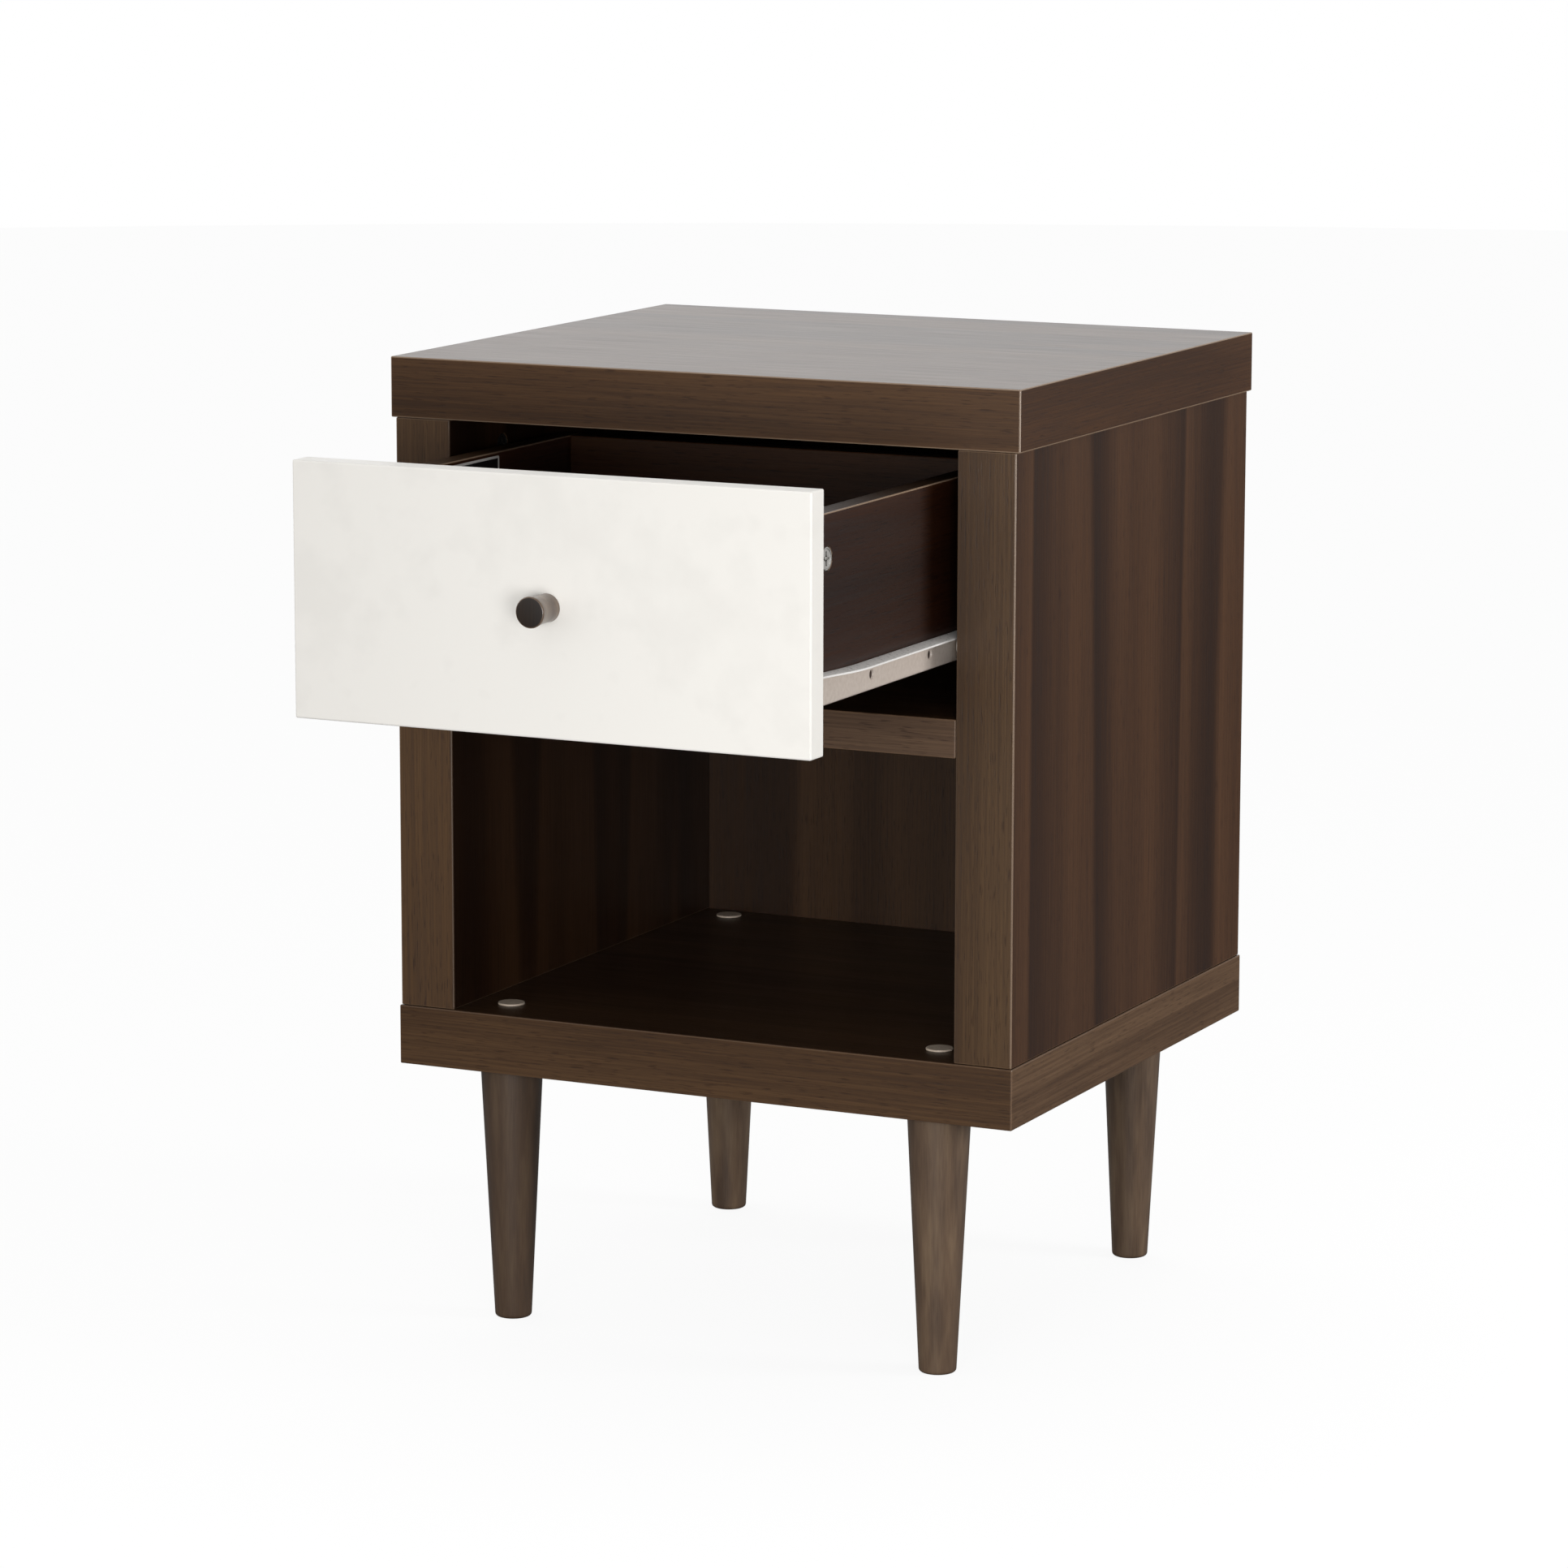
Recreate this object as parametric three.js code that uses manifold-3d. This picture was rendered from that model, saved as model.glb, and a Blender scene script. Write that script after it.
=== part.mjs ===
// Side table: one drawer over an open cubby, on four tapered legs.
// Millimetres, +Z up, the front faces -Y. The drawer is modelled drawn out.
//
// Everything is worked out in table coordinates: x = 0 in the middle of the width,
// y = 0 at the front edge of the top, z = 0 on the floor. Drawer pieces are worked out
// with the drawer shut, and the drawer group is then drawn out.

import * as THREE from 'three';
import { RoundedBoxGeometry } from 'three/addons/geometries/RoundedBoxGeometry.js';
import { mergeVertices } from 'three/addons/utils/BufferGeometryUtils.js';
import Module from 'manifold-3d';

const wasm = await Module();
wasm.setup();

// ---------------------------------------------------------------- sizes

// Overall
const tableWidth = 450;
const tableDepth = 400;
const tableHeight = 650;

// Carcass boards
const topThickness = 40;
const baseThickness = 40;
const sideThickness = 40;
const dividerThickness = 25;
const backThickness = 6;
const sideInset = 3; // side panels, in from the ends of the top
const baseOverhang = 1; // base, out past the side panels
const frontInset = 1; // side panels and divider, in from the front of the top
const backInset = 1; // side panels, in from the rear of the top
const backRecess = 10; // back panel, in from the rear of the top
const drawerBayHeight = 172; // underside of the top to the divider
const grooveDepth = 6; // grooves that hold the back panel and the drawer bottom
const boardEase = 0.8; // rounding of the boards' edges
const easeSteps = 1; // flats in each rounded edge, either side of its middle

// Legs and their fixings
const legHeight = 175;
const legTopRadius = 21;
const legFootRadius = 12.3;
const legFootEase = 2;
const legInsetSide = 68; // leg axis, in from the end of the top
const legInsetFront = 35; // leg axis, in from the front and from the rear of the top
const legBoltRadius = 4;
const legBoltHeadRadius = 7;
const legBoltHeadHeight = 4.5;
const legBoltReach = 22; // bolt below the base
const legInsertRadius = 6.5;
const legInsertLength = 25;
const legHoleDepth = 30;
const capRadius = 9;
const capThickness = 1.2;
const capEase = 0.6;
const capPlugDepth = 1.6;
const capRecessDepth = 8; // counterbore under the cap

// Cam locks, cam bolts, dowels and screws
const camRadius = 7.5;
const camLength = 12.7;
const camSetback = 24; // cam axis, in from the end of its board
const camCrossLength = 9;
const camCrossWidth = 1.6;
const camCrossDepth = 1.6;
const camBoltRadius = 3;
const camBoltNeckRadius = 2;
const camBoltThreadRadius = 2.5;
const camBoltThreadLength = 11;
const camBoltHeadRadius = 3.4;
const camBoltHeadLength = 4;
const camBoltNeckLength = 2;
const fixingInset = 74; // top cams and base screws, in from the front and from the rear
const dowelRadius = 4;
const dowelLength = 30;
const dowelInsetFront = 60;
const dowelInsetRear = 50; // in front of the back panel
const baseScrewRadius = 3.5;
const baseScrewLength = 62;
const baseScrewHeadRadius = 5;
const baseScrewHeadHeight = 4;
const baseScrewSink = 1; // head, up from the underside of the base

// Drawer
const drawerFrontThickness = 18;
const drawerFrontSideGap = 3;
const drawerFrontTopGap = 3;
const drawerFrontBottomGap = 6;
const drawerFrontEase = 1;
const drawerSideThickness = 15;
const drawerBackThickness = 15;
const drawerBottomThickness = 4;
const drawerSideHeight = 116;
const drawerSideDrop = 18; // drawer sides, down from the top of the drawer front
const drawerBoxLength = 322; // drawer sides, front to rear
const drawerBottomLift = 10; // drawer bottom, up from the lower edge of the sides
const drawerCamDrop = 28; // cam, down from the top of the drawer side
const drawerTravel = 226; // shut to the stops
const drawnOut = 208; // how far the drawer is out here

// Knob
const knobFaceRadius = 9.8;
const knobWaistRadius = 7;
const knobFootRadius = 7.6;
const knobLength = 23;
const knobEase = 0.8;
const knobWaistShare = 0.55; // where the neck is drawn in most, as a share of the length
const knobHoleDepth = 12;
const knobScrewRadius = 2;
const knobScrewHeadRadius = 4.2;
const knobScrewHeadHeight = 2.4;
const knobScrewRimHeight = 1;
const knobScrewCrownRadius = 3;
const knobScrewReach = 10; // screw inside the knob

// Roller slides
const slideGap = 12.5; // drawer side to side panel
const slideSteel = 1.2;
const slideLength = 300; // the drawer's rail
const slideFrontGap = 2; // cabinet rail, behind the drawer front
const lipHeight = 17; // top of the drawer's rail, up from the lower edge of the drawer side
const lipReach = 9;
const railFootReach = 12; // flange under the drawer side
const lipClearance = 1.5; // between the drawer's rail and the cabinet's
const flangeClearance = 1;
const rollerRadius = 7.5;
const rollerWidth = 8;
const rollerEase = 0.7;
const rollerPlay = 0.3; // roller to the faces that it runs on
const rollerSideGap = 0.4;
const rollerEndInset = 5; // rear roller's axle, in from the end of the drawer's rail
const rollerFrontInset = 8.5; // front roller's axle, in from the end of the cabinet rail
const axleRadius = 2;
const axleHeadRadius = 3;
const axleHeadLength = 0.5;
const stopClearance = 0.5;
const stopHeight = 6;
const railHoleRadius = 3;
const railHoleInset = 86; // first hole, in from the front of the drawer's rail
const railHolePitch = 87.5;
const railHoleCount = 3;
const cabinetRailHoleRadius = 2.4;
const cabinetRailHoleInset = 37; // first and last hole, in from the ends of the cabinet rail

// Sides of the round pieces
const rodSides = 12;
const capSides = 24;
const camSides = 24;
const screwSides = 20;
const knobHoleSides = 16;
const knobSides = 28;
const rollerSides = 28;
const legSides = 36;
const knobNeckSteps = 5;

// Clearances
const seat = 0.2; // between faces that touch
const holeGap = 0.3; // round dowels, screws, bolts and cams
const grooveGap = 0.3; // each side of a panel in its groove
const cutOver = 2; // how far a cut runs out past a face

// ---------------------------------------------------------------- levels and places

const baseTop = legHeight + baseThickness;
const topUnderside = tableHeight - topThickness;
const dividerTop = topUnderside - drawerBayHeight;
const dividerUnderside = dividerTop - dividerThickness;

const sideOuter = tableWidth / 2 - sideInset;
const openingHalf = sideOuter - sideThickness;
const boardFront = frontInset;
const boardRear = tableDepth - backInset;
const backPanelRear = tableDepth - backRecess;
const backPanelFront = backPanelRear - backThickness;

const drawerFrontBack = boardFront + drawerFrontThickness;
const drawerFrontLow = dividerTop + drawerFrontBottomGap;
const drawerFrontHigh = topUnderside - drawerFrontTopGap;
const drawerOuter = openingHalf - slideGap;
const drawerInner = drawerOuter - drawerSideThickness;
const drawerSideFront = drawerFrontBack + seat;
const drawerSideRear = drawerSideFront + drawerBoxLength;
const drawerSideHigh = drawerFrontHigh - drawerSideDrop;
const drawerSideLow = drawerSideHigh - drawerSideHeight;
const drawerBackFront = drawerSideRear - drawerBackThickness;
const drawerBottomLow = drawerSideLow + drawerBottomLift;
const drawerBottomHigh = drawerBottomLow + drawerBottomThickness;
const knobHeight = (drawerFrontLow + drawerFrontHigh) / 2;

const camDepth = camLength / 2 + seat; // bolt axis, in from the face that the cam is let into
const left = -1;
const right = 1;
const hands = { left, right };

// ---------------------------------------------------------------- finishes

const finishes = {
  walnutBoard: { color: 0x4a3a2e, roughness: 0.5, metalness: 0 },
  walnutDark: { color: 0x38291f, roughness: 0.6, metalness: 0 },
  whiteBoard: { color: 0xf1f0ec, roughness: 0.45, metalness: 0 },
  stainedWood: { color: 0x4b3a2c, roughness: 0.4, metalness: 0 },
  paleWood: { color: 0xc9a87c, roughness: 0.7, metalness: 0 },
  zincSteel: { color: 0xb9bcc0, roughness: 0.35, metalness: 1 },
  zincCasting: { color: 0x9fa2a5, roughness: 0.45, metalness: 1 },
  railEnamel: { color: 0xdad6cf, roughness: 0.4, metalness: 0.1 },
  nylon: { color: 0xeeeae0, roughness: 0.5, metalness: 0 },
  capPlastic: { color: 0xb0a393, roughness: 0.5, metalness: 0 },
};

// ---------------------------------------------------------------- helpers

// A closed three.js geometry as a solid for joining and cutting.
function toSolid(geometry) {
  const bare = geometry.clone();
  bare.deleteAttribute('normal');
  bare.deleteAttribute('uv');
  const merged = mergeVertices(bare);
  const order = merged.index.array;
  const triVerts = [];
  for (let i = 0; i < order.length; i += 3) {
    const [a, b, c] = order.slice(i, i + 3);
    if (a !== b && b !== c && c !== a) triVerts.push(a, b, c); // poles of turned pieces collapse
  }
  return new wasm.Manifold(
    new wasm.Mesh({
      numProp: 3,
      vertProperties: new Float32Array(merged.attributes.position.array),
      triVerts: new Uint32Array(triVerts),
    }),
  );
}

function toGeometry(solid) {
  const { vertProperties, triVerts } = solid.getMesh();
  const geometry = new THREE.BufferGeometry();
  geometry.setAttribute('position', new THREE.BufferAttribute(vertProperties, 3));
  geometry.setIndex(new THREE.BufferAttribute(triVerts, 1));
  geometry.computeVertexNormals();
  return geometry;
}

// Adds a named piece. The solid is in table coordinates; origin is the piece's own centre.
function addPiece(group, name, finish, solid, origin) {
  const geometry = toGeometry(solid.translate(origin.map((value) => -value)));
  const mesh = new THREE.Mesh(geometry, new THREE.MeshStandardMaterial(finishes[finish]));
  mesh.name = name;
  mesh.position.set(...origin);
  group.add(mesh);
}

const middle = (low, high) => low.map((value, axis) => (value + high[axis]) / 2);

// How far the middle of a quarter circle stays from both sides of its corner, over its radius.
const arcMiddle = 1 - Math.SQRT1_2;

// Sorted opposite corners, so that a mirrored piece can give them in either order.
function corners(a, b) {
  const low = a.map((value, axis) => Math.min(value, b[axis]));
  const high = a.map((value, axis) => Math.max(value, b[axis]));
  return { low, high, size: high.map((value, axis) => value - low[axis]), centre: middle(low, high) };
}

// A sharp block between two opposite corners.
function block(a, b) {
  const { size, centre } = corners(a, b);
  return toSolid(new THREE.BoxGeometry(...size).translate(...centre));
}

// A board with eased edges between two opposite corners.
function board(a, b, ease = boardEase) {
  const { size, centre } = corners(a, b);
  return toSolid(new RoundedBoxGeometry(...size, easeSteps, ease).translate(...centre));
}

// Turns a geometry whose axis is +Y to point along a direction, then moves it to a place.
function aim(geometry, direction, place) {
  const turn = new THREE.Quaternion().setFromUnitVectors(
    new THREE.Vector3(0, 1, 0),
    new THREE.Vector3(...direction).normalize(),
  );
  return geometry.applyQuaternion(turn).translate(...place);
}

// A round rod, or the tool for a round hole, from one point to another.
function rod(radius, from, to, sides = rodSides) {
  const run = new THREE.Vector3(...to).sub(new THREE.Vector3(...from));
  const shape = new THREE.CylinderGeometry(radius, radius, run.length(), sides);
  return toSolid(aim(shape, run.toArray(), middle(from, to)));
}

// A turned piece. The profile is [radius, distance along the axis] pairs, given upwards.
function turned(profile, direction, place, sides = rodSides) {
  const points = profile.map(([radius, along]) => new THREE.Vector2(radius, along));
  return toSolid(aim(new THREE.LatheGeometry(points, sides), direction, place));
}

function joined(solids) {
  return solids.reduce((sum, solid) => sum.add(solid));
}

function cut(solid, tools) {
  return tools.reduce((rest, tool) => rest.subtract(tool), solid);
}

// Runs fn for each of the four corners, with the corner's name and places.
function forCorners(sideDistance, frontDistance, rearDistance, fn) {
  for (const [hand, side] of Object.entries(hands)) {
    fn(`front_${hand}`, side * sideDistance, frontDistance, side);
    fn(`rear_${hand}`, side * sideDistance, rearDistance, side);
  }
}

const table = new THREE.Group();
const cabinet = new THREE.Group();
const drawer = new THREE.Group();
table.add(cabinet, drawer);

// ---------------------------------------------------------------- cam locks

// The lock lies in a pocket whose mouth faces outward; its bolt comes from towards.
function camLock(face, outward, towards) {
  const out = new THREE.Vector3(...outward);
  const reach = new THREE.Vector3(...towards);
  const at = (depth, along) => face.map((value, axis) => (
    value - out.getComponent(axis) * depth + reach.getComponent(axis) * along
  ));
  const body = rod(camRadius, at(camLength + seat, 0), at(seat, 0), camSides);
  const channel = rod(
    camBoltHeadRadius + holeGap + seat,
    at(camDepth, -camBoltHeadLength / 2 - holeGap),
    at(camDepth, camRadius + cutOver),
  );
  const across = new THREE.Vector3().crossVectors(out, reach);
  const slot = (line) => {
    const halfSize = new THREE.Vector3()
      .addScaledVector(line, camCrossLength / 2)
      .addScaledVector(new THREE.Vector3().crossVectors(line, out), camCrossWidth / 2)
      .addScaledVector(out, camCrossDepth);
    const mouth = new THREE.Vector3(...at(seat, 0));
    return block(mouth.clone().sub(halfSize).toArray(), mouth.clone().add(halfSize).toArray());
  };
  return cut(body, [channel, slot(across), slot(reach)]);
}

// The pocket for a cam lock, and the hole that its bolt comes through.
function camPocket(face, outward, towards) {
  const inward = outward.map((value) => -value);
  const step = (from, direction, length) => from.map((value, axis) => value + direction[axis] * length);
  const axis = step(face, inward, camDepth);
  return [
    rod(camRadius + holeGap, step(face, outward, cutOver), step(face, inward, camLength + 2 * seat), camSides),
    rod(camBoltHeadRadius + holeGap, axis, step(axis, towards, camSetback + cutOver)),
  ];
}

// The bolt stands in the other board at joint and points into the lock.
function camBolt(joint, intoLock) {
  const headEnd = camSetback + camBoltHeadLength / 2;
  const neckEnd = headEnd - camBoltHeadLength;
  return turned(
    [
      [0, -camBoltThreadLength],
      [camBoltThreadRadius, -camBoltThreadLength],
      [camBoltThreadRadius, 0],
      [camBoltRadius, 0],
      [camBoltRadius, neckEnd - camBoltNeckLength],
      [camBoltNeckRadius, neckEnd - camBoltNeckLength],
      [camBoltNeckRadius, neckEnd],
      [camBoltHeadRadius, neckEnd],
      [camBoltHeadRadius, headEnd],
      [0, headEnd],
    ],
    intoLock,
    joint,
  );
}

function camBoltHole(joint, intoLock) {
  const end = joint.map((value, axis) => value - intoLock[axis] * (camBoltThreadLength + holeGap));
  const mouth = joint.map((value, axis) => value + intoLock[axis] * cutOver);
  return rod(camBoltThreadRadius + holeGap, mouth, end);
}

// ---------------------------------------------------------------- carcass

const topCuts = [];
const baseCuts = [];
const sideCuts = { left: [], right: [] };
const dividerCuts = [];

// Grooves for the back panel run round all four boards.
const grooveReach = openingHalf + grooveDepth;
const grooveFront = backPanelFront - grooveGap;
const grooveRear = backPanelRear + grooveGap;
topCuts.push(
  block([-grooveReach, grooveFront, topUnderside - cutOver], [grooveReach, grooveRear, topUnderside + grooveDepth]),
);
baseCuts.push(
  block([-grooveReach, grooveFront, baseTop - grooveDepth], [grooveReach, grooveRear, baseTop + cutOver]),
);
for (const [hand, side] of Object.entries(hands)) {
  sideCuts[hand].push(
    block(
      [side * (openingHalf - cutOver), grooveFront, baseTop - cutOver],
      [side * grooveReach, grooveRear, topUnderside + cutOver],
    ),
  );
}

// Top: a cam lock in each end of both side panels pulls on a bolt in the top.
const topCamHeight = topUnderside - camSetback;
forCorners(openingHalf, fixingInset, tableDepth - fixingInset, (corner, x, y, side) => {
  const hand = side === left ? 'left' : 'right';
  const face = [x, y, topCamHeight];
  const inward = [-side, 0, 0];
  const up = [0, 0, 1];
  const down = [0, 0, -1];
  const joint = [x + side * camDepth, y, topUnderside];
  sideCuts[hand].push(...camPocket(face, inward, up));
  topCuts.push(camBoltHole(joint, down));
  addPiece(cabinet, `top_cam_${corner}`, 'zincCasting', camLock(face, inward, up), face);
  addPiece(cabinet, `top_cam_bolt_${corner}`, 'zincSteel', camBolt(joint, down), joint);
});

// Base: long screws come up through it into the side panels.
forCorners(openingHalf + sideThickness / 2, fixingInset, tableDepth - fixingInset, (corner, x, y, side) => {
  const hand = side === left ? 'left' : 'right';
  const headLow = legHeight + baseScrewSink;
  const headHigh = headLow + baseScrewHeadHeight;
  const tip = headLow + baseScrewLength;
  const tipCone = baseScrewRadius;
  const shankHole = rod(baseScrewRadius + holeGap, [x, y, headLow], [x, y, tip + holeGap]);
  baseCuts.push(
    rod(baseScrewHeadRadius + holeGap, [x, y, legHeight - cutOver], [x, y, headHigh + seat]),
    shankHole,
  );
  sideCuts[hand].push(shankHole);
  const screw = turned(
    [
      [0, 0],
      [baseScrewHeadRadius, 0],
      [baseScrewHeadRadius, baseScrewHeadHeight],
      [baseScrewRadius, baseScrewHeadHeight],
      [baseScrewRadius, baseScrewLength - tipCone],
      [0, baseScrewLength],
    ],
    [0, 0, 1],
    [x, y, headLow],
  );
  addPiece(cabinet, `base_screw_${corner}`, 'zincSteel', screw, [x, y, headLow]);
});

// Divider: glued on dowels that stand in the side panels.
forCorners(openingHalf, dowelInsetFront, backPanelFront - dowelInsetRear, (corner, x, y, side) => {
  const hand = side === left ? 'left' : 'right';
  const z = (dividerTop + dividerUnderside) / 2;
  const half = dowelLength / 2;
  const hole = rod(
    dowelRadius + holeGap,
    [x - side * (half + holeGap), y, z],
    [x + side * (half + holeGap), y, z],
  );
  dividerCuts.push(hole);
  sideCuts[hand].push(hole);
  const dowel = rod(dowelRadius, [x - side * half, y, z], [x + side * half, y, z]);
  addPiece(cabinet, `divider_dowel_${corner}`, 'paleWood', dowel, [x, y, z]);
});

// Legs: a bolt drops through the base into a threaded insert, and a cap covers its head.
forCorners(
  tableWidth / 2 - legInsetSide,
  legInsetFront,
  tableDepth - legInsetFront,
  (corner, x, y) => {
    const up = [0, 0, 1];
    const recessLow = baseTop - capRecessDepth;
    const legTop = legHeight - seat;
    baseCuts.push(
      rod(legBoltHeadRadius + 2 * holeGap, [x, y, recessLow], [x, y, baseTop + cutOver]),
      rod(legBoltRadius + holeGap, [x, y, legHeight - cutOver], [x, y, recessLow + cutOver]),
    );

    const blank = turned(
      [
        [0, 0],
        [legFootRadius - legFootEase, 0],
        [legFootRadius - legFootEase * arcMiddle, legFootEase * arcMiddle],
        [legFootRadius, legFootEase],
        [legTopRadius, legTop],
        [0, legTop],
      ],
      up,
      [x, y, 0],
      legSides,
    );
    const hole = rod(legInsertRadius + holeGap, [x, y, legTop - legHoleDepth], [x, y, legTop + cutOver]);
    addPiece(cabinet, `leg_${corner}`, 'stainedWood', cut(blank, [hole]), [x, y, 0]);

    const insertHigh = legTop - seat;
    const insert = cut(rod(legInsertRadius, [x, y, insertHigh - legInsertLength], [x, y, insertHigh]), [
      rod(
        legBoltRadius + holeGap,
        [x, y, insertHigh - legInsertLength - cutOver],
        [x, y, insertHigh + cutOver],
      ),
    ]);
    addPiece(cabinet, `leg_insert_${corner}`, 'zincSteel', insert, [x, y, insertHigh]);

    const headLow = recessLow + seat;
    const bolt = joined([
      rod(legBoltHeadRadius, [x, y, headLow], [x, y, headLow + legBoltHeadHeight]),
      rod(legBoltRadius, [x, y, legHeight - legBoltReach], [x, y, headLow + legBoltHeadHeight / 2]),
    ]);
    addPiece(cabinet, `leg_bolt_${corner}`, 'zincSteel', bolt, [x, y, headLow]);

    const capLow = baseTop + seat;
    const cap = turned(
      [
        [0, -capPlugDepth],
        [legBoltHeadRadius, -capPlugDepth],
        [legBoltHeadRadius, 0],
        [capRadius, 0],
        [capRadius, capThickness - capEase],
        [capRadius - capEase, capThickness],
        [0, capThickness],
      ],
      up,
      [x, y, capLow],
      capSides,
    );
    addPiece(cabinet, `bolt_cap_${corner}`, 'capPlastic', cap, [x, y, capLow]);
  },
);

const top = board([-tableWidth / 2, 0, topUnderside], [tableWidth / 2, tableDepth, tableHeight]);
addPiece(cabinet, 'top_panel', 'walnutBoard', cut(top, topCuts), [0, tableDepth / 2, tableHeight]);

const baseHalf = sideOuter + baseOverhang;
const base = board([-baseHalf, 0, legHeight], [baseHalf, tableDepth, baseTop]);
addPiece(cabinet, 'base_panel', 'walnutBoard', cut(base, baseCuts), [0, tableDepth / 2, baseTop]);

for (const [hand, side] of Object.entries(hands)) {
  const panel = board(
    [side * openingHalf, boardFront, baseTop + seat],
    [side * sideOuter, boardRear, topUnderside - seat],
  );
  const origin = [side * openingHalf, boardFront, baseTop];
  addPiece(cabinet, `${hand}_side_panel`, 'walnutBoard', cut(panel, sideCuts[hand]), origin);
}

const divider = board(
  [-openingHalf + seat, boardFront, dividerUnderside],
  [openingHalf - seat, backPanelFront - seat, dividerTop],
);
addPiece(cabinet, 'divider_shelf', 'walnutBoard', cut(divider, dividerCuts), [0, boardFront, dividerTop]);

const backHalf = grooveReach - grooveGap;
const backLow = baseTop - grooveDepth + grooveGap;
const backHigh = topUnderside + grooveDepth - grooveGap;
const back = block([-backHalf, backPanelFront, backLow], [backHalf, backPanelRear, backHigh]);
addPiece(cabinet, 'back_panel', 'walnutDark', back, [0, backPanelFront, backLow]);

// ---------------------------------------------------------------- drawer box

const frontHalf = openingHalf - drawerFrontSideGap;
const bottomGrooveLow = drawerBottomLow - grooveGap;
const bottomGrooveHigh = drawerBottomHigh + grooveGap;
const bottomReach = drawerInner + grooveDepth;
const frontCuts = [
  block(
    [-bottomReach, drawerFrontBack - grooveDepth, bottomGrooveLow],
    [bottomReach, drawerFrontBack + cutOver, bottomGrooveHigh],
  ),
  rod(
    knobScrewRadius + holeGap,
    [0, boardFront - cutOver, knobHeight],
    [0, drawerFrontBack + cutOver, knobHeight],
  ),
];

for (const [hand, side] of Object.entries(hands)) {
  const outward = [side, 0, 0];
  const forward = [0, -1, 0];
  const rearward = [0, 1, 0];
  const camHeight = drawerSideHigh - drawerCamDrop;
  const face = [side * drawerOuter, drawerSideFront + camSetback, camHeight];
  const joint = [side * (drawerOuter - camDepth), drawerFrontBack, camHeight];

  const sideBoard = board(
    [side * drawerInner, drawerSideFront, drawerSideLow],
    [side * drawerOuter, drawerSideRear, drawerSideHigh],
  );
  const bottomGroove = block(
    [side * (drawerInner - cutOver), drawerSideFront - cutOver, bottomGrooveLow],
    [side * bottomReach, drawerSideRear - drawerBackThickness + grooveDepth, bottomGrooveHigh],
  );
  const cuts = [bottomGroove, ...camPocket(face, outward, forward)];
  addPiece(drawer, `drawer_${hand}_side`, 'walnutDark', cut(sideBoard, cuts), [
    side * drawerInner,
    drawerSideFront,
    drawerSideLow,
  ]);
  addPiece(drawer, `drawer_cam_${hand}`, 'zincCasting', camLock(face, outward, forward), face);
  addPiece(drawer, `drawer_cam_bolt_${hand}`, 'zincSteel', camBolt(joint, rearward), joint);
  frontCuts.push(camBoltHole(joint, rearward));
}

const drawerFront = board(
  [-frontHalf, boardFront, drawerFrontLow],
  [frontHalf, drawerFrontBack, drawerFrontHigh],
  drawerFrontEase,
);
addPiece(drawer, 'drawer_front', 'whiteBoard', cut(drawerFront, frontCuts), [0, boardFront, knobHeight]);

const backBoardHalf = drawerInner - seat;
const drawerBack = cut(
  board(
    [-backBoardHalf, drawerBackFront, drawerSideLow],
    [backBoardHalf, drawerSideRear, drawerSideHigh],
  ),
  [
    block(
      [-bottomReach, drawerBackFront - cutOver, bottomGrooveLow],
      [bottomReach, drawerBackFront + grooveDepth, bottomGrooveHigh],
    ),
  ],
);
addPiece(drawer, 'drawer_back', 'walnutDark', drawerBack, [0, drawerBackFront, drawerSideLow]);

const bottomHalf = bottomReach - grooveGap;
const drawerBottom = block(
  [-bottomHalf, drawerFrontBack - grooveDepth + grooveGap, drawerBottomLow],
  [bottomHalf, drawerBackFront + grooveDepth - grooveGap, drawerBottomHigh],
);
addPiece(drawer, 'drawer_bottom', 'walnutDark', drawerBottom, [0, drawerFrontBack, drawerBottomLow]);

// ---------------------------------------------------------------- knob

// The neck is drawn in along a curve between the foot and the face.
const neck = new THREE.QuadraticBezierCurve(
  new THREE.Vector2(knobFootRadius, 0),
  new THREE.Vector2(knobWaistRadius, knobLength * knobWaistShare),
  new THREE.Vector2(knobFaceRadius, knobLength - knobEase),
);
const knobProfile = [
  [0, 0],
  ...neck.getPoints(knobNeckSteps).map((point) => [point.x, point.y]),
  [knobFaceRadius - knobEase, knobLength],
  [0, knobLength],
];
const knobFoot = [0, boardFront - seat, knobHeight];
const knobBlank = turned(knobProfile, [0, -1, 0], knobFoot, knobSides);
const knobHole = rod(
  knobScrewRadius + holeGap,
  [0, boardFront + cutOver, knobHeight],
  [0, boardFront - seat - knobHoleDepth, knobHeight],
  knobHoleSides,
);
addPiece(drawer, 'knob', 'stainedWood', cut(knobBlank, [knobHole]), knobFoot);

const knobScrewHeadFront = drawerFrontBack + seat;
const knobScrew = turned(
  [
    [0, -drawerFrontThickness - seat - knobScrewReach],
    [knobScrewRadius, -drawerFrontThickness - seat - knobScrewReach],
    [knobScrewRadius, 0],
    [knobScrewHeadRadius, 0],
    [knobScrewHeadRadius, knobScrewRimHeight],
    [knobScrewCrownRadius, knobScrewHeadHeight],
    [0, knobScrewHeadHeight],
  ],
  [0, 1, 0],
  [0, knobScrewHeadFront, knobHeight],
  screwSides,
);
addPiece(drawer, 'knob_screw', 'zincSteel', knobScrew, [0, knobScrewHeadFront, knobHeight]);

// ---------------------------------------------------------------- roller slides

// Distances from the middle of the table out to the faces of the rails.
const drawerWebIn = drawerOuter + seat;
const drawerWebOut = drawerWebIn + slideSteel;
const cabinetWebOut = openingHalf - seat;
const cabinetWebIn = cabinetWebOut - slideSteel;
const flangeIn = drawerWebOut + flangeClearance;

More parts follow.
